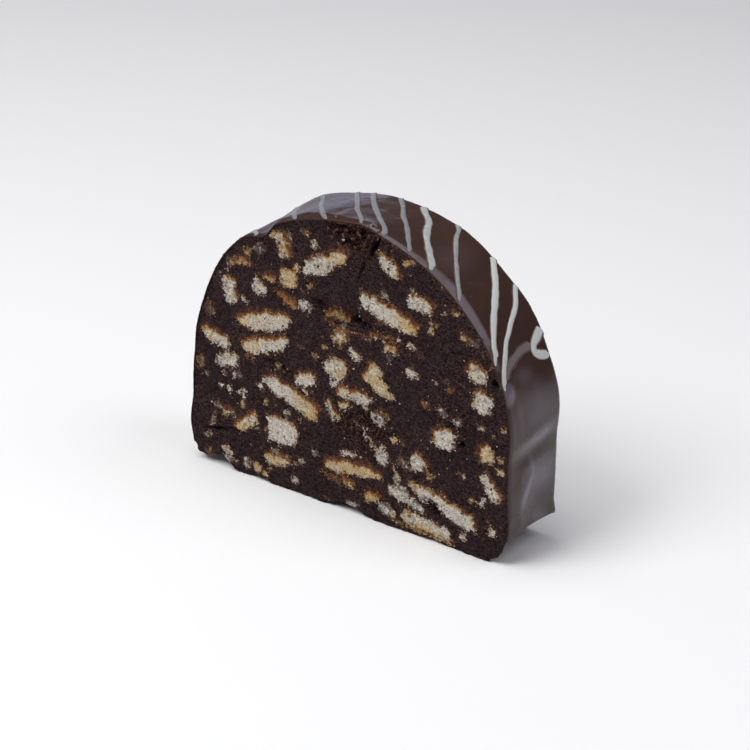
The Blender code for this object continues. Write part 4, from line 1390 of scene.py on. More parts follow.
@dataclass
class CakeBody(Maker):
    """The dark chocolate inside the coating, with a pocket for each biscuit."""

    biscuits: list[Biscuit]
    reliefs: dict[Cut, CutRelief]
    patterns: dict[Cut, CutPattern]
    finish: Finish = CutFinish()
    pitch: dict[Cut, float] = field(default_factory=lambda: {Cut.FRONT: 0.42, Cut.BACK: 0.54})
    arc_stations: int = 430
    corner_stations: int = 16
    base_stations: int = 170
    depths: tuple[float, ...] = (
        0.4, 0.9, 1.5, 2.4, 3.8, 5.6, 7.8, 10.4, 13.0, 15.4, 17.4, 19.0, 20.2, 20.8, 21.3,
    )
    overlap: float = 0.04
    right_front: tuple[Place, ...] = ((49.2, 6.2), (48.7, 3.8), (47.4, 2.0), (45.4, 0.9))
    right_inside: tuple[Place, ...] = ((47.2, 5.5), (45.0, 3.4), (43.0, 1.6), (41.6, 0.4))
    left_front: tuple[Place, ...] = ((-49.0, 3.4), (-48.7, 2.5), (-48.0, 2.0), (-47.0, 1.8))
    left_inside: tuple[Place, ...] = ((-48.0, 4.4), (-47.0, 3.2), (-45.9, 2.2), (-44.6, 1.5))
    corner_depth: float = 5.0
    hollows: tuple[Triple, ...] = ((-41.2, 7.0, 3.0), (-28.0, 6.0, 0.9), (1.0, 8.5, 1.8), (27.0, 5.0, 0.7))
    hollow_fade: float = 0.5
    rough: tuple[Place, Place] = ((0.5, 1.9), (0.3, 0.8))
    hidden_pitch: float = 0.9
    biscuit_fade: float = 1.5

    def base_height(self, across: np.ndarray, depth: float) -> np.ndarray:
        """Works out how high the underside stands over the plate.

        Args:
            across: places across.
            depth: the depth behind the front cut.

        Returns:
            The height at each place.
        """
        rise = sum(height * bump((across - x) / reach) for x, reach, height in self.hollows)
        places = np.column_stack([across, np.full(len(across), depth), np.zeros(len(across))])
        rough = sum(
            height * np.abs(unevenness(places, size, seed))
            for seed, (height, size) in enumerate(self.rough, 6)
        )
        return rise * (1 - self.hollow_fade * depth / FORM.thickness) + rough

    def corner(self, front: tuple[Place, ...], inside: tuple[Place, ...], depth: float) -> np.ndarray:
        """Traces the bare corner under a foot of the coating, from the foot down to the base.

        Args:
            front: the corner's places across and up at the front cut.
            inside: its places well behind that cut.
            depth: the depth behind the cut.

        Returns:
            The corner's points across and up.
        """
        share = 1 - bump(depth / self.corner_depth)
        points = np.array(front) * (1 - share) + np.array(inside) * share
        marks = np.linspace(0, len(points) - 1, self.corner_stations)
        return np.column_stack([np.interp(marks, np.arange(len(points)), side) for side in points.T])

    def outline(self, depth: float) -> np.ndarray:
        """Traces the outline over the arch, down the right corner, along the base and up the left corner.

        Args:
            depth: the depth behind the front cut.

        Returns:
            The outline's points across and up.
        """
        arcs = FORM.arcs(depth, self.arc_stations)
        depths = np.full(len(arcs), depth)
        arch = FORM.skin(arcs, depths, FORM.inner(arcs, depths) + self.overlap)[:, [0, 2]]
        right = self.corner(self.right_front, self.right_inside, depth)
        left = self.corner(self.left_front, self.left_inside, depth)[::-1]
        across = np.linspace(right[-1, 0], left[0, 0], self.base_stations + 2)
        base = np.column_stack([across, self.base_height(across, depth)])
        base[:, 1] = np.maximum(base[:, 1], np.where(across < self.hollows[0][0], left[0, 1], 0.0))
        base[0, 1] = right[-1, 1]
        return np.vstack([arch, right, base[1:-1], left])

    def face(self, shell: Shell, cut: Cut) -> np.ndarray:
        """Adds a cut face, with the pockets that open in it.

        Args:
            shell: the surface that the face joins.
            cut: the cut.

        Returns:
            The ring round the face's edge.
        """
        loop = self.outline(0.0 if cut is Cut.FRONT else FORM.thickness)
        holes = [biscuit.outline(cut) for biscuit in self.biscuits if cut in biscuit.cuts]
        points, faces = tiles(loop, holes, self.pitch[cut], 3)
        shell.patch(self.on_cut(points, cut), faces)
        for biscuit in self.biscuits:
            if biscuit.cuts[0] is cut:
                self.pocket(shell, biscuit)
        return self.on_cut(loop, cut)

    def on_cut(self, places: np.ndarray, cut: Cut) -> np.ndarray:
        """Places across and up set at the cut's relief."""
        return set_through(places, cut.through(self.reliefs[cut].depth(places)))

    def pocket(self, shell: Shell, biscuit: Biscuit) -> None:
        """Adds the walls of a biscuit's pocket, and its floor where the biscuit ends inside.

        Args:
            shell: the surface that the pocket joins.
            biscuit: the biscuit.
        """
        walls = biscuit_walls(biscuit, self.reliefs, 0.0)
        shell.band(walls)
        if len(biscuit.cuts) == 1:
            floor = walls[-1]
            points, faces = tiles(floor[:, [0, 2]], [], self.hidden_pitch, 5)
            shell.patch(set_through(points, np.full(len(points), floor[0, 1])), faces)

    def build(self) -> bpy.types.Object:
        """Makes the body.

        Returns:
            The piece.
        """
        shell = Shell()
        rings = [self.face(shell, Cut.FRONT)]
        for depth in self.depths:
            loop = self.outline(depth)
            rings.append(set_through(loop, np.full(len(loop), depth - FORM.thickness / 2)))
        rings.append(self.face(shell, Cut.BACK))
        shell.band(rings)
        piece = shell.piece("chocolate_body")
        store_cuts(piece, self.patterns, self.reliefs, fade=self.biscuit_fade)
        hand_over(piece, ["cake_body"])
        self.dress(piece)
        return piece


BASE_FACING = (0.3, 0.7)
BASE_TOP = 6.0
BASE_DEPTHS = (0.4, 1.6)
FADE_DEPTH = 0.5


def store_cuts(
    piece: bpy.types.Object,
    patterns: dict[Cut, CutPattern],
    reliefs: dict[Cut, CutRelief],
    fade: float = 0.0,
) -> None:
    """Stores what the cuts show at a piece's vertices, each read from its nearer cut.

    Args:
        piece: the piece.
        patterns: what shows in each cut.
        reliefs: each cut's surface.
        fade: how fast the cut's biscuit is lost behind the cut, where the underside has biscuit of its own.
    """
    places = places_of(piece)
    flat = places[:, [0, 2]]
    normals = np.empty(3 * len(places))
    piece.data.vertices.foreach_get("normal", normals)
    down = ease(-normals[2::3], *BASE_FACING) * (places[:, 2] < BASE_TOP)
    nearer_front = places[:, 1] < 0
    layers = {}
    for cut, mine in ((Cut.FRONT, nearer_front), (Cut.BACK, ~nearer_front)):
        read = patterns[cut].read(flat[mine])
        read["loose"] = reliefs[cut].loose(flat[mine])
        read["hollow"] = reliefs[cut].hollow(flat[mine])
        inside = cut.depth(places[mine, 1]) - reliefs[cut].depth(flat[mine])
        read["biscuit"] -= fade * np.maximum(inside - FADE_DEPTH, 0.0)
        read["base"] = down[mine] * ease(inside, *BASE_DEPTHS) * (fade > 0)
        for name, values in read.items():
            layers.setdefault(name, np.zeros(len(places)))[mine] = values
    for name, values in layers.items():
        store(piece.data, name, values)


WALL_SHARES = (0.0, 0.06, 0.2, 0.45, 0.72, 0.94, 1.0)
TAIL_CHIPS = 0.5


def biscuit_walls(biscuit: Biscuit, reliefs: dict[Cut, CutRelief], ease_in: float) -> list[np.ndarray]:
    """The rings down a biscuit's sides, from its first cut to its other cut or its tail.

    Args:
        biscuit: the biscuit.
        reliefs: the surface of each cut.
        ease_in: how far the sides lie inside the pocket's, under the cut.

    Returns:
        The rings, each with as many points.
    """
    cut = biscuit.cuts[0]
    other = Cut.BACK if cut is Cut.FRONT else Cut.FRONT
    near = biscuit.outline(cut)
    through = len(biscuit.cuts) == 2
    far = biscuit.outline(other, 1.0 if through else TAIL_CHIPS)
    marks, posts = np.linspace(0, len(far), len(near), endpoint=False), np.arange(len(far) + 1)
    far = np.column_stack([np.interp(marks, posts, np.append(side, side[0])) for side in far.T])
    turns = [((far - np.roll(near, -turn, axis=0)) ** 2).sum() for turn in range(len(near))]
    far = np.roll(far, int(np.argmin(turns)), axis=0)
    near_depth = reliefs[cut].depth(near)
    tail = biscuit.levels[-1] if cut is Cut.FRONT else biscuit.levels[0]
    far_depth = FORM.thickness - reliefs[other].depth(far) if through else np.full(len(far), cut.depth(tail))
    inward = near_loop(near, near).outward * ease_in
    rings = []
    for share in WALL_SHARES:
        flat = near * (1 - share) + far * share
        if 0.0 < share < 1.0 or (share == 1.0 and not through):
            flat = flat - inward
        depth = near_depth * (1 - share) + far_depth * share
        rings.append(set_through(flat, cut.through(depth)))
    return rings


@dataclass
class BiscuitPiece(Maker):
    """One broken biscuit, flush with the cut and pitted where it shows."""

    biscuit: Biscuit
    reliefs: dict[Cut, CutRelief]
    patterns: dict[Cut, CutPattern]
    finish: Finish = CutFinish()
    pitch: float = 0.38
    hidden_pitch: float = 0.9
    pits: float = 0.32
    pit_size: float = 0.9
    fine_share: float = 0.6
    fine_size: float = 0.5
    cut_apart: float = 3.0
    edge: Place = (0.05, 0.7)
    rise: float = 0.16
    clearance: float = 0.05

    def face(self, shell: Shell, cut: Cut, ring: np.ndarray) -> None:
        """Adds the face that shows at a cut, or the hidden end.

        Args:
            shell: the surface that the face joins.
            cut: the cut, or the one that the hidden end is nearer to.
            ring: the ring round the face.
        """
        loop = ring[:, [0, 2]]
        shows = cut in self.biscuit.cuts
        points, faces = tiles(loop, [], self.pitch if shows else self.hidden_pitch, self.biscuit.number)
        through = np.full(len(points), ring[0, 1])
        if shows:
            inside = np.maximum(near_loop(points, loop).distance, 0.0)
            depth = self.reliefs[cut].depth(points)
            solid = set_through(points, np.full(len(points), cut.value * self.cut_apart))
            rough = np.abs(unevenness(solid, self.pit_size, 8))
            rough += self.fine_share * np.abs(unevenness(solid, self.fine_size, 9))
            depth += ease(inside, *self.edge) * (self.pits * rough - self.rise)
            through = cut.through(np.maximum(depth, 0.0))
        shell.patch(set_through(points, through), faces)

    def build(self) -> bpy.types.Object:
        """Makes the piece.

        Returns:
            The piece.
        """
        rings = biscuit_walls(self.biscuit, self.reliefs, self.clearance)
        cut = self.biscuit.cuts[0]
        other = Cut.BACK if cut is Cut.FRONT else Cut.FRONT
        shell = Shell()
        self.face(shell, cut, rings[0])
        shell.band(rings)
        self.face(shell, other, rings[-1])
        piece = shell.piece(f"broken_{self.biscuit.node}")
        store_cuts(piece, self.patterns, self.reliefs)
        hand_over(piece, [self.biscuit.node])
        self.dress(piece)
        return piece


@dataclass(frozen=True)
class PaintedHighlight:
    """A painted highlight on the coating: its middle, its reaches along and aside, its tilt and its strength.
    """

    arc: float
    depth: float
    along: float
    aside: float
    tilt: float
    strength: float
    edge: float = 1.0

    def share(self, arc: np.ndarray, depth: np.ndarray) -> np.ndarray:
        """Measures the bloom at places.

        Args:
            arc: the arcs.
            depth: the depths.

        Returns:
            How strong the painted highlight is at each place.
        """
        turn = math.radians(self.tilt)
        off = np.column_stack([arc - self.arc, depth - self.depth])
        along = off @ (math.cos(turn), math.sin(turn)) / self.along
        aside = off @ (-math.sin(turn), math.cos(turn)) / self.aside
        return self.strength * bump(np.hypot(along, aside)) ** self.edge


# Painted highlights: soft reflections painted into the coating's colour, most of them on its right wall.
PAINTED_HIGHLIGHTS = (
    PaintedHighlight(77.0, 11.5, 12.0, 3.4, -80.0, 0.55),
    PaintedHighlight(88.0, 15.0, 9.5, 7.5, 70.0, 0.34),
    PaintedHighlight(83.5, 9.4, 5.5, 2.0, 5.0, 0.35),
    PaintedHighlight(90.5, 7.7, 7.8, 2.3, -22.0, 0.72),
    PaintedHighlight(62.0, 1.3, 3.7, 3.1, 10.0, 0.5, 0.35),
    PaintedHighlight(59.7, 9.0, 6.0, 3.2, 80.0, 0.2),
    PaintedHighlight(69.5, 5.0, 8.0, 1.9, 0.0, 0.13),
    PaintedHighlight(92.0, 13.0, 14.0, 11.0, 0.0, 0.16),
    PaintedHighlight(69.0, 13.0, 10.0, 11.0, 0.0, 0.24),
    PaintedHighlight(99.5, 15.0, 6.0, 3.0, 70.0, 0.3),
    PaintedHighlight(26.0, 9.0, 8.0, 12.0, 0.0, 0.08),
    PaintedHighlight(-78.0, 12.0, 20.0, 9.0, 80.0, 0.16),
    PaintedHighlight(-84.0, 11.0, 13.0, 3.0, 74.0, 0.2),
    PaintedHighlight(-92.0, 9.0, 10.0, 8.0, 20.0, 0.2),
    PaintedHighlight(-70.0, 6.0, 9.0, 3.0, -20.0, 0.12),
)


@dataclass
class Coating(Maker):
    """The chocolate coating over the arch and down both walls, with rounded cut edges."""

    finish: Finish = CoatingFinish()
    arc_stations: int = 440
    depth_stations: int = 40
    edge_shares: tuple[float, ...] = (0.0, 0.2, 0.45, 0.75)
    inner_edges: tuple[float, ...] = (0.0, 0.4, 0.9, 1.5)
    inner_gap: float = 4.0
    inner_stations: int = 6
    lift: float = 0.1
    lumps: tuple[Place, Place] = ((0.12, 4.5), (0.05, 1.8))
    lumps_least: float = 0.3
    lumps_fade: Place = (-50.0, -20.0)
    nick_depth: float = 0.25
    nick_size: float = 1.3
    nick_rest: float = 0.15
    nick_reach: float = 2.0
    bevel_edge: Place = (-0.15, 0.15)
    bevel_start: Place = (8.0, 26.0)
    bevel_end: Place = (-57.0, -54.0)
    drag_fade: Place = (-42.0, -8.0)
    section_depth: float = 0.01
    foot_round: float = 1.0
    foot_least: float = 0.35

    def lip_at(self, arc: np.ndarray, depth: np.ndarray) -> np.ndarray:
        """How much of the dull bevel that the knife left is at places, 0 to 1; the bevel's painted sheen
        follows it.
        """
        near = ease(FORM.front_lip(arc) - depth, *self.bevel_edge)
        return near * ease(arc, *self.bevel_start) * ease(-arc, *self.bevel_end)

    def surface(self, arc: np.ndarray, depth: np.ndarray) -> np.ndarray:
        """Finds points on the coating's surface, fine unevenness included.

        Args:
            arc: the arcs.
            depth: the depths.

        Returns:
            The points, one row each.
        """
        solid = np.column_stack([arc, depth, np.zeros(len(arc))])
        kinds = enumerate(self.lumps, 20)
        fine = sum(height * unevenness(solid, size, seed) for seed, (height, size) in kinds)
        least = self.lumps_least
        fine = fine * (least + (1 - least) * ease(-arc, *self.lumps_fade)) + self.lift
        edge = bump(np.minimum(depth, FORM.thickness - depth) / self.nick_reach)
        nicks = np.maximum(0.0, unevenness(solid, self.nick_size, 22) - self.nick_rest)
        return FORM.skin(arc, depth, fine - self.nick_depth * nicks * edge - FORM.drop(arc, depth))

    def inner_depths(self) -> np.ndarray:
        """The depths of the points on the inner side, from the back cut to the front cut.

        Returns:
            The depths.
        """
        edges = np.array(self.inner_edges)
        middle = np.linspace(FORM.thickness - self.inner_gap, self.inner_gap, self.inner_stations)
        return np.concatenate([FORM.thickness - edges, middle, edges[::-1]])

    def outer_depths(self, lip: float) -> np.ndarray:
        """The depths of the points on the surface, from the front cut to the back cut.

        Args:
            lip: how wide the front edge is bevelled.

        Returns:
            The depths.
        """
        edges = np.array(self.edge_shares)
        middle = np.linspace(lip, FORM.thickness - FORM.back_lip, self.depth_stations)
        return np.concatenate([edges * lip, middle, FORM.thickness - (edges * FORM.back_lip)[::-1]])

    def column(self, share: float) -> tuple[np.ndarray, np.ndarray]:
        """Goes once round the coating, through the slice on the surface and back on the inner side.

        Args:
            share: how far along the coating, from 0 at its left foot to 1 at its right foot.

        Returns:
            The points, and their numbers in each layer.
        """
        front, back = (FORM.arcs(depth, 2) for depth in (0.0, FORM.thickness))
        arc_front = front[0] + (front[1] - front[0]) * share
        arc_back = back[0] + (back[1] - back[0]) * share
        lip = float(FORM.front_lip(np.array(arc_front)))
        depths, inner_depths = self.outer_depths(lip), self.inner_depths()
        arcs = arc_front + (arc_back - arc_front) * depths / FORM.thickness
        outer = self.surface(arcs, depths)
        inner_arcs = arc_front + (arc_back - arc_front) * inner_depths / FORM.thickness
        inner = FORM.skin(inner_arcs, inner_depths, FORM.inner(inner_arcs, inner_depths))
        foot = min(share, 1 - share) * (front[1] - front[0])
        if foot < self.foot_round:
            pull = math.sqrt(max(0.0, 1 - (1 - foot / self.foot_round) ** 2))
            base = FORM.skin(arcs, depths, FORM.inner(arcs, depths))
            outer = base + (outer - base) * (self.foot_least + (1 - self.foot_least) * pull)
        hidden = np.zeros(len(inner))
        cut_at = np.append(depths, inner_depths)
        # how strong the painted highlights are at each point of the surface
        painted_highlight = sum(painted_highlight.share(arcs, depths) for painted_highlight in PAINTED_HIGHLIGHTS)
        values = np.column_stack([
            np.append(self.lip_at(arcs, depths), hidden),
            (cut_at < self.section_depth) | (cut_at > FORM.thickness - self.section_depth),
            ease(-np.append(arcs, inner_arcs), *self.drag_fade),
            np.append(np.minimum(painted_highlight, 1.0), hidden),
        ])
        return np.vstack([outer, inner]), values

    def build(self) -> bpy.types.Object:
        """Makes the coating.

        Returns:
            The piece.
        """
        columns, values = zip(
            *(self.column(share) for share in np.linspace(0.0, 1.0, self.arc_stations)), strict=True
        )
        shell = Shell("lip", "section", "drag", "painted_highlight")
        shell.band(columns, values=np.vstack(values))
        for end in (columns[0], columns[-1]):
            middle = len(end) - len(self.inner_depths())
            self.close(shell, end[:middle], end[middle:])
        piece = shell.piece("dark_coating")
        hand_over(piece, ["coating"])
        self.dress(piece)
        return piece

    @staticmethod
    def close(shell: Shell, outer: np.ndarray, inner: np.ndarray) -> None:
        """Closes a foot of the coating.

        Args:
            shell: the surface that the foot joins.
            outer: the points of its outer edge.
            inner: the points of its inner edge, which run the other way.
        """
        marks = np.linspace(0, len(inner) - 1, len(outer))
        partner = np.round(marks).astype(int)
        points = np.vstack([outer, inner])
        faces = []
        for index, following in pairwise(range(len(outer))):
            near = len(outer) + len(inner) - 1 - partner[index]
            far = len(outer) + len(inner) - 1 - partner[following]
            faces.append([index, following, near])
            if near != far:
                faces.append([following, far, near])
        shell.patch(points, np.array(faces))


@dataclass(frozen=True)
class Line:
    """A line of drizzle: its width, how white its body is, and its way as places of arc and depth."""

    width: float
    body: float
    way: tuple[Place, ...]
    height: float = 0.18


DRIZZLE_LINES = (
    Line(1.4, 0.2, ((-59.6, 0.5), (-58.5, 3.0), (-56.5, 5.2), (-54.4, 4.6), (-53.4, 2.4), (-53.0, 0.5))),
    Line(1.5, 0.5, ((-68.0, 21.4), (-58.0, 12.5), (-51.0, 6.0), (-44.5, 0.5))),
    Line(1.4, 0.35, ((-57.0, 21.4), (-48.0, 14.0), (-39.0, 6.6), (-31.8, 0.5))),
    Line(1.4, 0.15, ((-36.5, 21.4), (-28.5, 14.8), (-23.0, 6.7), (-16.8, 0.3))),
    Line(1.2, 0.15, ((-25.0, 21.4), (-21.2, 17.2), (-16.5, 10.4), (-10.5, 3.3), (-6.8, 0.3))),
    Line(1.2, 0.15, ((-13.4, 21.4), (-4.8, 10.3), (-3.2, 8.0), (1.0, 3.8), (4.0, 0.4))),
    Line(1.3, 0.2, ((-8.2, 21.4), (-2.8, 14.4), (2.0, 9.3), (6.0, 5.4), (9.2, 2.6), (10.8, 0.3))),
    Line(1.1, 0.22, ((0.2, 21.4), (4.0, 17.4), (7.5, 12.8), (10.8, 9.5), (14.8, 5.0), (18.8, 0.6))),
    Line(1.6, 0.5, ((7.4, 21.4), (9.8, 18.9), (12.2, 16.9), (13.8, 15.0), (15.6, 11.8), (17.7, 9.0),
                    (21.0, 5.8), (24.2, 2.8), (26.2, 0.7))),
    Line(1.1, 0.35, ((18.0, 21.4), (19.8, 19.7), (21.8, 16.0), (25.2, 11.8), (28.2, 8.3), (31.2, 5.1),
                    (33.8, 2.8), (36.5, 0.9))),
    Line(1.75, 1.0, ((30.2, 21.4), (32.2, 19.6), (36.8, 15.0), (41.0, 10.4), (45.0, 6.3), (49.5, 2.4),
                     (51.8, 1.4), (54.5, 0.4))),
    Line(1.4, 1.0, ((39.2, 21.4), (41.2, 19.1), (44.0, 16.4), (47.0, 12.1), (48.8, 9.7), (50.5, 7.2),
                    (53.0, 4.8), (55.5, 2.6), (58.2, 1.1), (61.0, 0.5))),
    Line(2.1, 1.0, ((51.3, 21.4), (52.8, 19.0), (54.2, 16.8), (56.0, 16.1), (57.2, 17.6), (58.0, 20.0),
                    (58.0, 21.4))),
)
FILM_LINES = (
    Line(2.1, 0.8, ((54.0, 15.8), (54.0, 11.4), (54.8, 8.0), (55.8, 5.0), (57.2, 2.7), (58.5, 1.6)), 0.07),
    Line(0.7, 0.7, ((7.8, 1.7), (6.7, 1.1), (6.6, 0.3), (7.6, 0.1), (8.6, 0.3), (8.7, 1.1)), 0.5),
)


@dataclass
class Ribbons(Maker):
    """Lines of chocolate piped over the coating, rounded on top, with a thin skirt along each side."""

    name: str
    coating: Coating
    lines: tuple[Line, ...]
    finish: Finish
    step: float = 0.3
    root: float = 0.3
    inset: float = 0.03
    widths: tuple[Place, Place] = ((0.24, 3.2), (0.08, 1.4))
    heights: Place = (0.3, 2.6)
    lines_apart: float = 4.0
    tip_least: float = 0.02
    tip_height: float = 0.3
    tip_run: float = 4.0
    profile: tuple[Place, ...] = (
        (1.5, -0.1), (1.25, 0.12), (0.96, 0.42), (0.72, 0.74), (0.4, 0.95), (0.0, 1.0),
    )

    def way(self, line: Line) -> np.ndarray:
        """Places of arc and depth at an even step along a line."""
        return smooth_way(np.array(line.way), self.step, closed=False)

    def section(self) -> tuple[np.ndarray, np.ndarray]:
        """Traces the section over the top from side to side, and back under the surface.

        Returns:
            The places aside and the places up.
        """
        half = np.array(self.profile)
        top = np.vstack([half, (half * (-1, 1))[-2::-1]])
        under = np.array([(-1.0, -1.0), (1.0, -1.0)])
        return np.vstack([top, under]).T

    def add(self, shell: Shell, line: Line, seed: int) -> None:
        """Adds one line.

        Args:
            shell: the surface that the line joins.
            line: the line.
            seed: seeds its unevenness.
        """
        way = self.way(line)
        solid = np.column_stack([way, np.full(len(way), seed * self.lines_apart)])
        kinds = enumerate(self.widths, 30)
        play = (share * unevenness(solid, size, index) for index, (share, size) in kinds)
        width = line.width * sum(play, 1.0)
        height = line.height * (1 + self.heights[0] * unevenness(solid, self.heights[1], 32))
        steps = np.arange(len(way)) * self.step
        tip = np.minimum(steps, steps[::-1]) / (0.5 * line.width)
        taper = np.sqrt(np.clip(1 - (1 - np.clip(tip, 0.0, 1.0)) ** 2, self.tip_least, 1.0))
        low = self.tip_height + (1 - self.tip_height) * ease(tip, 0.0, self.tip_run)
        wall = FORM.thickness / 2 - self.inset
        middle = self.coating.surface(way[:, 0], way[:, 1])
        flat = FORM.outward(way[:, 0])
        outward = np.column_stack([flat[:, 0], np.zeros(len(flat)), flat[:, 1]])
        aside = np.cross(np.gradient(middle, axis=0), outward)
        aside /= np.linalg.norm(aside, axis=1)[:, None]
        rings, values = [], []
        for across, up in zip(*self.section(), strict=True):
            over = height * taper * low * up if up > 0 else np.full(len(way), self.root * up)
            ring = middle + aside * (across * width / 2 * taper)[:, None] + outward * over[:, None]
            ring[:, 1] = np.clip(ring[:, 1], -wall, wall)
            rings.append(ring)
            values.append(np.column_stack([np.full(len(way), line.body), np.full(len(way), max(0.0, up))]))
        rows = list(np.stack(rings, axis=1))
        shell.band(rows, values=np.stack(values, axis=1).reshape(-1, 2))
        for row in (rows[0], rows[-1]):
            shell.patch(row, np.arange(len(row))[None])

    def build(self) -> bpy.types.Object:
        """Makes one piece of all the lines.

        Returns:
            The piece.
        """
        shell = Shell("body", "top")
        for seed, line in enumerate(self.lines):
            self.add(shell, line, seed)
        piece = shell.piece(self.name)
        hand_over(piece, ["coating"])
        self.dress(piece)
        return piece


@dataclass(frozen=True)
class Crumb:
    """A crumb: its middle, and its sizes across, through and up, in millimetres."""

    place: Triple
    size: Triple
    tilt: float = 0.0


DARK_CRUMBS = tuple(Crumb(*row) for row in (
    ((-2.6, -10.5, 78.3), (1.2, 0.5, 0.8), 30), ((8.2, -10.5, 78.3), (1.5, 0.5, 0.5), -20),
    ((9.0, -10.5, 76.9), (0.6, 0.5, 1.8), -24), ((18.5, -10.5, 74.4), (1.7, 0.5, 0.8), -40),
    ((22.6, -10.5, 72.4), (1.2, 0.5, 0.7), -40), ((37.0, -10.5, 61.4), (1.6, 0.5, 0.8), -52),
    ((1.4, -10.5, 74.9), (1.6, 0.8, 1.1), 20), ((3.4, -10.5, 76.4), (1.9, 0.8, 0.9), -35),
    ((-0.6, -10.5, 76.6), (1.3, 0.8, 1.0), 50), ((5.0, -10.5, 74.4), (1.2, 0.8, 0.9), -10),
    ((-3.6, -10.5, 76.2), (1.4, 0.8, 0.8), 35), ((2.2, -10.5, 72.9), (1.3, 0.7, 0.7), -15),
    ((6.3, -10.5, 76.8), (1.0, 0.7, 1.2), 15), ((8.6, -10.5, 73.4), (1.1, 0.6, 0.7), 70),
))

PALE_CRUMBS = tuple(Crumb(*row) for row in (
    ((-1.5, -10.5, 74.0), (1.2, 0.5, 0.6), 20), ((-12.4, -10.5, 73.4), (1.4, 0.5, 0.6), -50),
))

TOASTED_CRUMBS = tuple(Crumb(*row) for row in (
    ((-4.1, -10.2, 79.1), (0.8, 0.6, 2.0), 12), ((-3.4, -10.3, 78.2), (1.3, 0.6, 0.7), -15),
    ((-6.0, -10.6, 75.9), (1.2, 0.5, 0.6), -10), ((-5.0, -10.6, 74.0), (1.4, 0.5, 0.6), -35),
    ((-2.8, -10.6, 72.6), (1.9, 0.5, 0.8), -38), ((-1.6, -10.6, 75.2), (0.7, 0.5, 1.5), 30),
    ((12.2, -10.5, 77.0), (0.9, 0.5, 0.5), -25), ((20.2, -10.5, 73.6), (1.5, 0.5, 0.6), -38),
    ((25.8, -10.5, 70.2), (1.0, 0.5, 0.5), -42), ((30.2, -10.5, 66.9), (1.3, 0.5, 0.5), -46),
    ((34.6, -10.5, 63.6), (1.0, 0.5, 0.6), -50), ((39.4, -10.5, 58.2), (1.1, 0.5, 0.5), -58),
    ((-24.8, -10.6, 15.4), (2.6, 0.5, 0.7), -8),
))


@dataclass
class Crumbs(Maker):
    """Crumbs of one kind, joined as one piece: those listed one by one, and those strewn over the cuts."""

    name: str
    slot: str
    finish: Finish
    placed: tuple[Crumb, ...]
    count: int
    sizes: Place
    seed: int
    near_biscuit: bool = False
    rim_count: int = 0
    low: Place = (-49.0, 1.0)
    high: Place = (49.0, 79.0)
    tries: int = 6
    edge_room: float = 1.6
    wish: Place = (0.06, 0.5)
    open_wish: Place = (0.05, 0.3)
    beside_wish: float = 0.8
    beside: float = 0.35
    clear: float = 0.1
    few_large: float = 2.5
    sunk_share: float = 0.3
    sunk: float = 0.03
    play: Place = (0.6, 1.3)
    corner_play: Place = (0.7, 1.25)
    rim_arcs: Place = (-12.0, 66.0)
    rim_lifts: Place = (-0.15, 0.5)
    rim_sizes: Place = (0.25, 0.75)
    rim_depth: float = 0.32

    def strewn(self, reliefs: dict[Cut, CutRelief], patterns: dict[Cut, CutPattern]) -> list[Crumb]:
        """Strews crumbs where the cuts are loose or beside the biscuits.

        Args:
            reliefs: each cut's surface.
            patterns: what shows in each cut.

        Returns:
            The crumbs.
        """
        draw = np.random.default_rng(self.seed)
        made: list[Crumb] = []
        for cut in Cut:
            spots = draw.uniform(self.low, self.high, (self.count * self.tries, 2))
            spots = spots[near_loop(spots, FORM.cut_rim()).distance > self.edge_room]
            loose = reliefs[cut].loose(spots)
            wish = self.wish[0] + self.wish[1] * loose
            if self.near_biscuit:
                biscuit = patterns[cut].read(spots)["biscuit"]
                wish = (self.open_wish[0] + self.open_wish[1] * loose) * (biscuit < -self.clear)
                wish = wish + self.beside_wish * np.exp(-(((biscuit + self.beside) / self.beside) ** 2))
            chosen = spots[draw.random(len(spots)) < wish][: self.count]
            for (x, z), depth in zip(chosen, reliefs[cut].depth(chosen), strict=True):
                size = self.sizes[0] + (self.sizes[1] - self.sizes[0]) * draw.random() ** self.few_large
                through = max(depth, self.sunk_share * size + self.sunk)
                sizes = tuple(size * draw.uniform(*self.play, 3))
                made.append(Crumb((x, float(cut.through(through)), z), sizes, draw.uniform(0, 360)))
        return made

    def along_rim(self) -> list[Crumb]:
        """Lays crumbs along the coating's front edge, where the knife left it ragged.

        Returns:
            The crumbs.
        """
        draw = np.random.default_rng(self.seed + 90)
        arcs = draw.uniform(*self.rim_arcs, self.rim_count)
        depths = np.zeros(self.rim_count)
        lifts = FORM.inner(arcs, depths) - draw.uniform(*self.rim_lifts, self.rim_count)
        made = []
        for x, _, z in FORM.skin(arcs, depths, lifts):
            sizes = tuple(draw.uniform(*self.rim_sizes) * draw.uniform(*self.play, 3))
            made.append(Crumb((x, -FORM.thickness / 2 + self.rim_depth, z), sizes, draw.uniform(0, 360)))
        return made

    def build(self, reliefs: dict[Cut, CutRelief], patterns: dict[Cut, CutPattern]) -> bpy.types.Object:
        """Makes the piece.

        Args:
            reliefs: each cut's surface.
            patterns: what shows in each cut.

        Returns:
            The piece.
        """
        ball = bmesh.new()
        bmesh.ops.create_icosphere(ball, subdivisions=1, radius=0.5)
        corners = np.array([tuple(vertex.co) for vertex in ball.verts])
        faces = np.array([[vertex.index for vertex in face.verts] for face in ball.faces])
        ball.free()
        draw = np.random.default_rng(self.seed + 50)
        shell = Shell()
        for crumb in (*self.placed, *self.strewn(reliefs, patterns), *self.along_rim()):
            rough = corners * draw.uniform(*self.corner_play, (len(corners), 1)) * crumb.size
            turn = math.radians(crumb.tilt)
            across = rough[:, 0] * math.cos(turn) - rough[:, 2] * math.sin(turn)
            up = rough[:, 0] * math.sin(turn) + rough[:, 2] * math.cos(turn)
            shell.patch(np.column_stack([across, rough[:, 1], up]) + crumb.place, faces)
        piece = shell.piece(self.name)
        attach(piece, "root")
        log.info("%s: %d faces", piece.name, len(piece.data.polygons))
        self.dress(piece)
        return piece


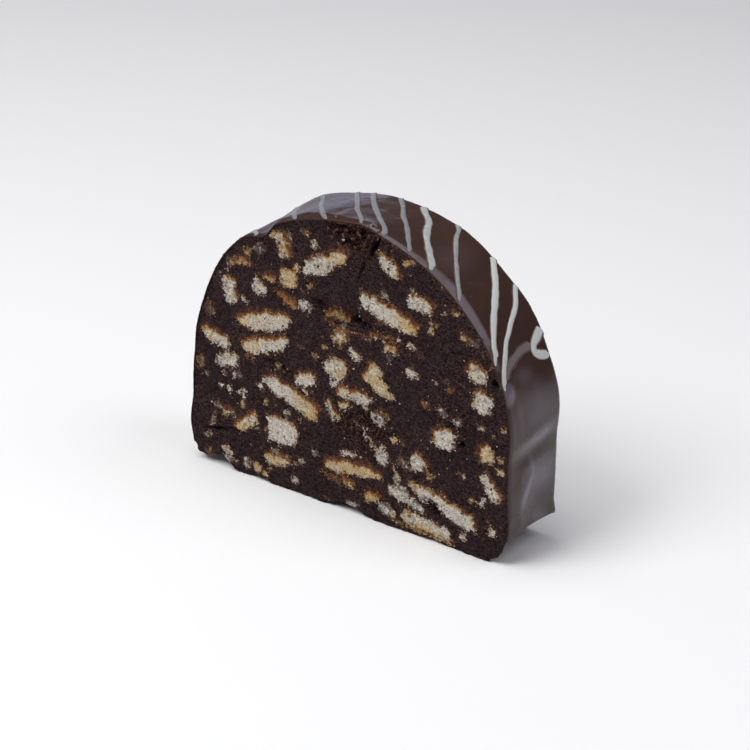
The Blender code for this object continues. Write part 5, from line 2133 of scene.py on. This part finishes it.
CRUMB_KINDS = (
    Crumbs(
        "chocolate_crumbs", "chocolate_crumb",
        CrumbFinish("chocolate_crumb_finish", (0.17, 0.070, 0.040), (0.030, 0.015, 0.013)),
        DARK_CRUMBS, 900, (0.4, 1.3), seed=4, rim_count=220,
    ),
    Crumbs(
        "toasted_crumbs", "biscuit_toasted",
        CrumbFinish("toasted_crumb_finish", (0.24, 0.092, 0.050), (0.085, 0.036, 0.022)),
        TOASTED_CRUMBS, 60, (0.3, 0.8), seed=12, rim_count=60,
    ),
    Crumbs(
        "biscuit_crumbs", "biscuit_pale",
        CrumbFinish("biscuit_crumb_finish", (0.72, 0.66, 0.56), (0.42, 0.28, 0.16)),
        PALE_CRUMBS, 320, (0.2, 0.6), seed=7, near_biscuit=True,
    ),
)

# The studio


@dataclass(frozen=True)
class SoftLight:
    """A square soft light: the direction it comes from, its distance and size in metres, its power."""

    name: str
    toward: Triple
    distance: float
    size: float
    power: float
    colour: Colour = (1.0, 1.0, 1.0)

    def place(self, target: Vector) -> bpy.types.Object:
        """Sets the light up.

        Args:
            target: the point that it faces.

        Returns:
            The light.
        """
        lamp = bpy.data.lights.new(self.name, "AREA")
        lamp.shape = "SQUARE"
        lamp.size = self.size
        lamp.energy = self.power
        lamp.color = self.colour
        made = bpy.data.objects.new(self.name, lamp)
        bpy.context.scene.collection.objects.link(made)
        direction = Vector(self.toward).normalized()
        made.location = target + direction * self.distance
        made.rotation_euler = direction.to_track_quat("Z", "Y").to_euler()
        return made


@dataclass(frozen=True)
class Studio:
    """A pale floor, soft light and the camera at the photograph's angle."""

    azimuth: float = math.radians(36.014)
    elevation: float = math.radians(23.831)
    roll: float = math.radians(-1.192)
    distance: float = 0.63456
    target: Triple = (0.0, 0.0, 0.04009)
    image_width: float = 750.0
    focal_pixels: float = 2500.0
    centre_pixel: Place = (371.35, 354.10)
    sensor: float = 36.0
    floor_half: float = 3.0
    floor_colour: Colour = (0.97, 0.97, 0.97)
    floor_roughness: float = 0.9
    floor_gloss: float = 0.2
    sky_bright: Colour = (0.80, 0.88, 1.15)
    sky_dim: Colour = (0.13, 0.13, 0.14)
    sky_side: Triple = (-0.67, 0.74, 0.0)
    sky_edge: Place = (0.93, 0.985)
    sky_strength: float = 1.0
    lights: tuple[SoftLight, ...] = (
        SoftLight("front_key", (-0.30, -0.62, 0.78), 1.0, 0.5, 4.8),
        SoftLight("overhead", (-0.2, -0.16, 1.0), 0.95, 0.65, 4.5),
        SoftLight("lip_light", (0.62, 0.16, 0.77), 0.9, 0.5, 1.8, (0.96, 0.94, 1.0)),
    )

    def camera(self) -> None:
        """Sets the camera where the photograph was taken from."""
        a, e, r = self.azimuth, self.elevation, self.roll
        right = Vector((math.cos(a), math.sin(a), 0.0))
        ahead = Vector((-math.sin(a) * math.cos(e), math.cos(a) * math.cos(e), -math.sin(e)))
        down = ahead.cross(right)
        tilted_right = math.cos(r) * right + math.sin(r) * down
        tilted_down = math.cos(r) * down - math.sin(r) * right
        lens = bpy.data.cameras.new("camera")
        lens.sensor_width = self.sensor
        lens.lens = self.focal_pixels / self.image_width * self.sensor
        lens.shift_x = 0.5 - self.centre_pixel[0] / self.image_width
        lens.shift_y = self.centre_pixel[1] / self.image_width - 0.5
        made = bpy.data.objects.new("camera", lens)
        bpy.context.scene.collection.objects.link(made)
        turn = Matrix((tilted_right, -tilted_down, -ahead)).transposed().to_4x4()
        made.matrix_world = Matrix.Translation(Vector(self.target) - ahead * self.distance) @ turn
        bpy.context.scene.camera = made

    def floor(self) -> None:
        """Lays the pale floor."""
        mesh = bpy.data.meshes.new("floor")
        half = self.floor_half
        corners = [(-half, -half, 0), (half, -half, 0), (half, half, 0), (-half, half, 0)]
        mesh.from_pydata(corners, [], [(0, 1, 2, 3)])
        made = bpy.data.objects.new("floor", mesh)
        bpy.context.scene.collection.objects.link(made)
        recipe = Recipe("pale_floor")
        recipe.give(
            Base_Color=self.floor_colour, Roughness=self.floor_roughness, Specular_IOR_Level=self.floor_gloss,
        )
        mesh.materials.append(recipe.material)

    def sky(self) -> None:
        """Lights the room round the slice, brighter to the left and behind it."""
        world = bpy.data.worlds.new("sky")
        world.use_nodes = True
        nodes = Nodes(world.node_tree)
        direction = nodes.node("ShaderNodeTexCoord").outputs["Generated"]
        facing = nodes.node(
            "ShaderNodeVectorMath", {"operation": "DOT_PRODUCT"}, {0: direction, 1: self.sky_side},
        )
        share = Signal(nodes, facing.outputs["Value"]).step(*self.sky_edge)
        backdrop = nodes.tree.nodes["Background"]
        nodes.feed(backdrop.inputs["Color"], nodes.mix(share, self.sky_dim, self.sky_bright))
        nodes.feed(backdrop.inputs["Strength"], self.sky_strength)
        bpy.context.scene.world = world

    def build(self) -> None:
        """Sets up the camera, the floor, the sky and the lights."""
        self.camera()
        self.floor()
        self.sky()
        for light in self.lights:
            light.place(Vector(self.target))
        bpy.context.scene.view_settings.view_transform = "Standard"
        log.info("studio: %d lights", len(self.lights))


def read_biscuits() -> list[Biscuit]:
    """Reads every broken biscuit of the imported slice.

    Returns:
        The biscuits, with their looks.
    """
    slots = {part["node"]: part["material_slot"] for part in frame["record"]["subparts"]}
    found = []
    for node in sorted(frame["nodes"]):
        if node.startswith("biscuit"):
            look = LOOKS.get(int(node[-2:]), PLAIN_LOOKS[slots[node]])
            found.append(Biscuit.of_node(node, look, slots[node]))
    return found


def main() -> None:
    """Builds the studio and the slice, piece by piece."""
    logging.basicConfig(level=logging.INFO, format="%(message)s")
    Studio().build()
    biscuits = read_biscuits()
    reliefs = {
        Cut.FRONT: CutRelief(Cut.FRONT, FRONT_SCARS),
        Cut.BACK: CutRelief(Cut.BACK, BACK_SCARS, seed=40.0),
    }
    bits = {
        cut: [bit for scatter in scatters for bit in scatter.bits()]
        for cut, scatters in ((Cut.FRONT, FRONT_SCATTERS), (Cut.BACK, BACK_SCATTERS))
    }
    patterns = {
        Cut.FRONT: CutPattern(Cut.FRONT, biscuits, [*FRONT_BITS, *bits[Cut.FRONT]]),
        Cut.BACK: CutPattern(Cut.BACK, biscuits, bits[Cut.BACK]),
    }
    CakeBody(biscuits, reliefs, patterns).build()
    for biscuit in biscuits:
        BiscuitPiece(biscuit, reliefs, patterns).build()
    coating = Coating()
    coating.build()
    Ribbons("white_drizzle", coating, DRIZZLE_LINES, DrizzleFinish()).build()
    Ribbons("thin_film", coating, FILM_LINES, FilmFinish()).build()
    for crumbs in CRUMB_KINDS:
        crumbs.build(reliefs, patterns)


if __name__ == "__main__":
    main()
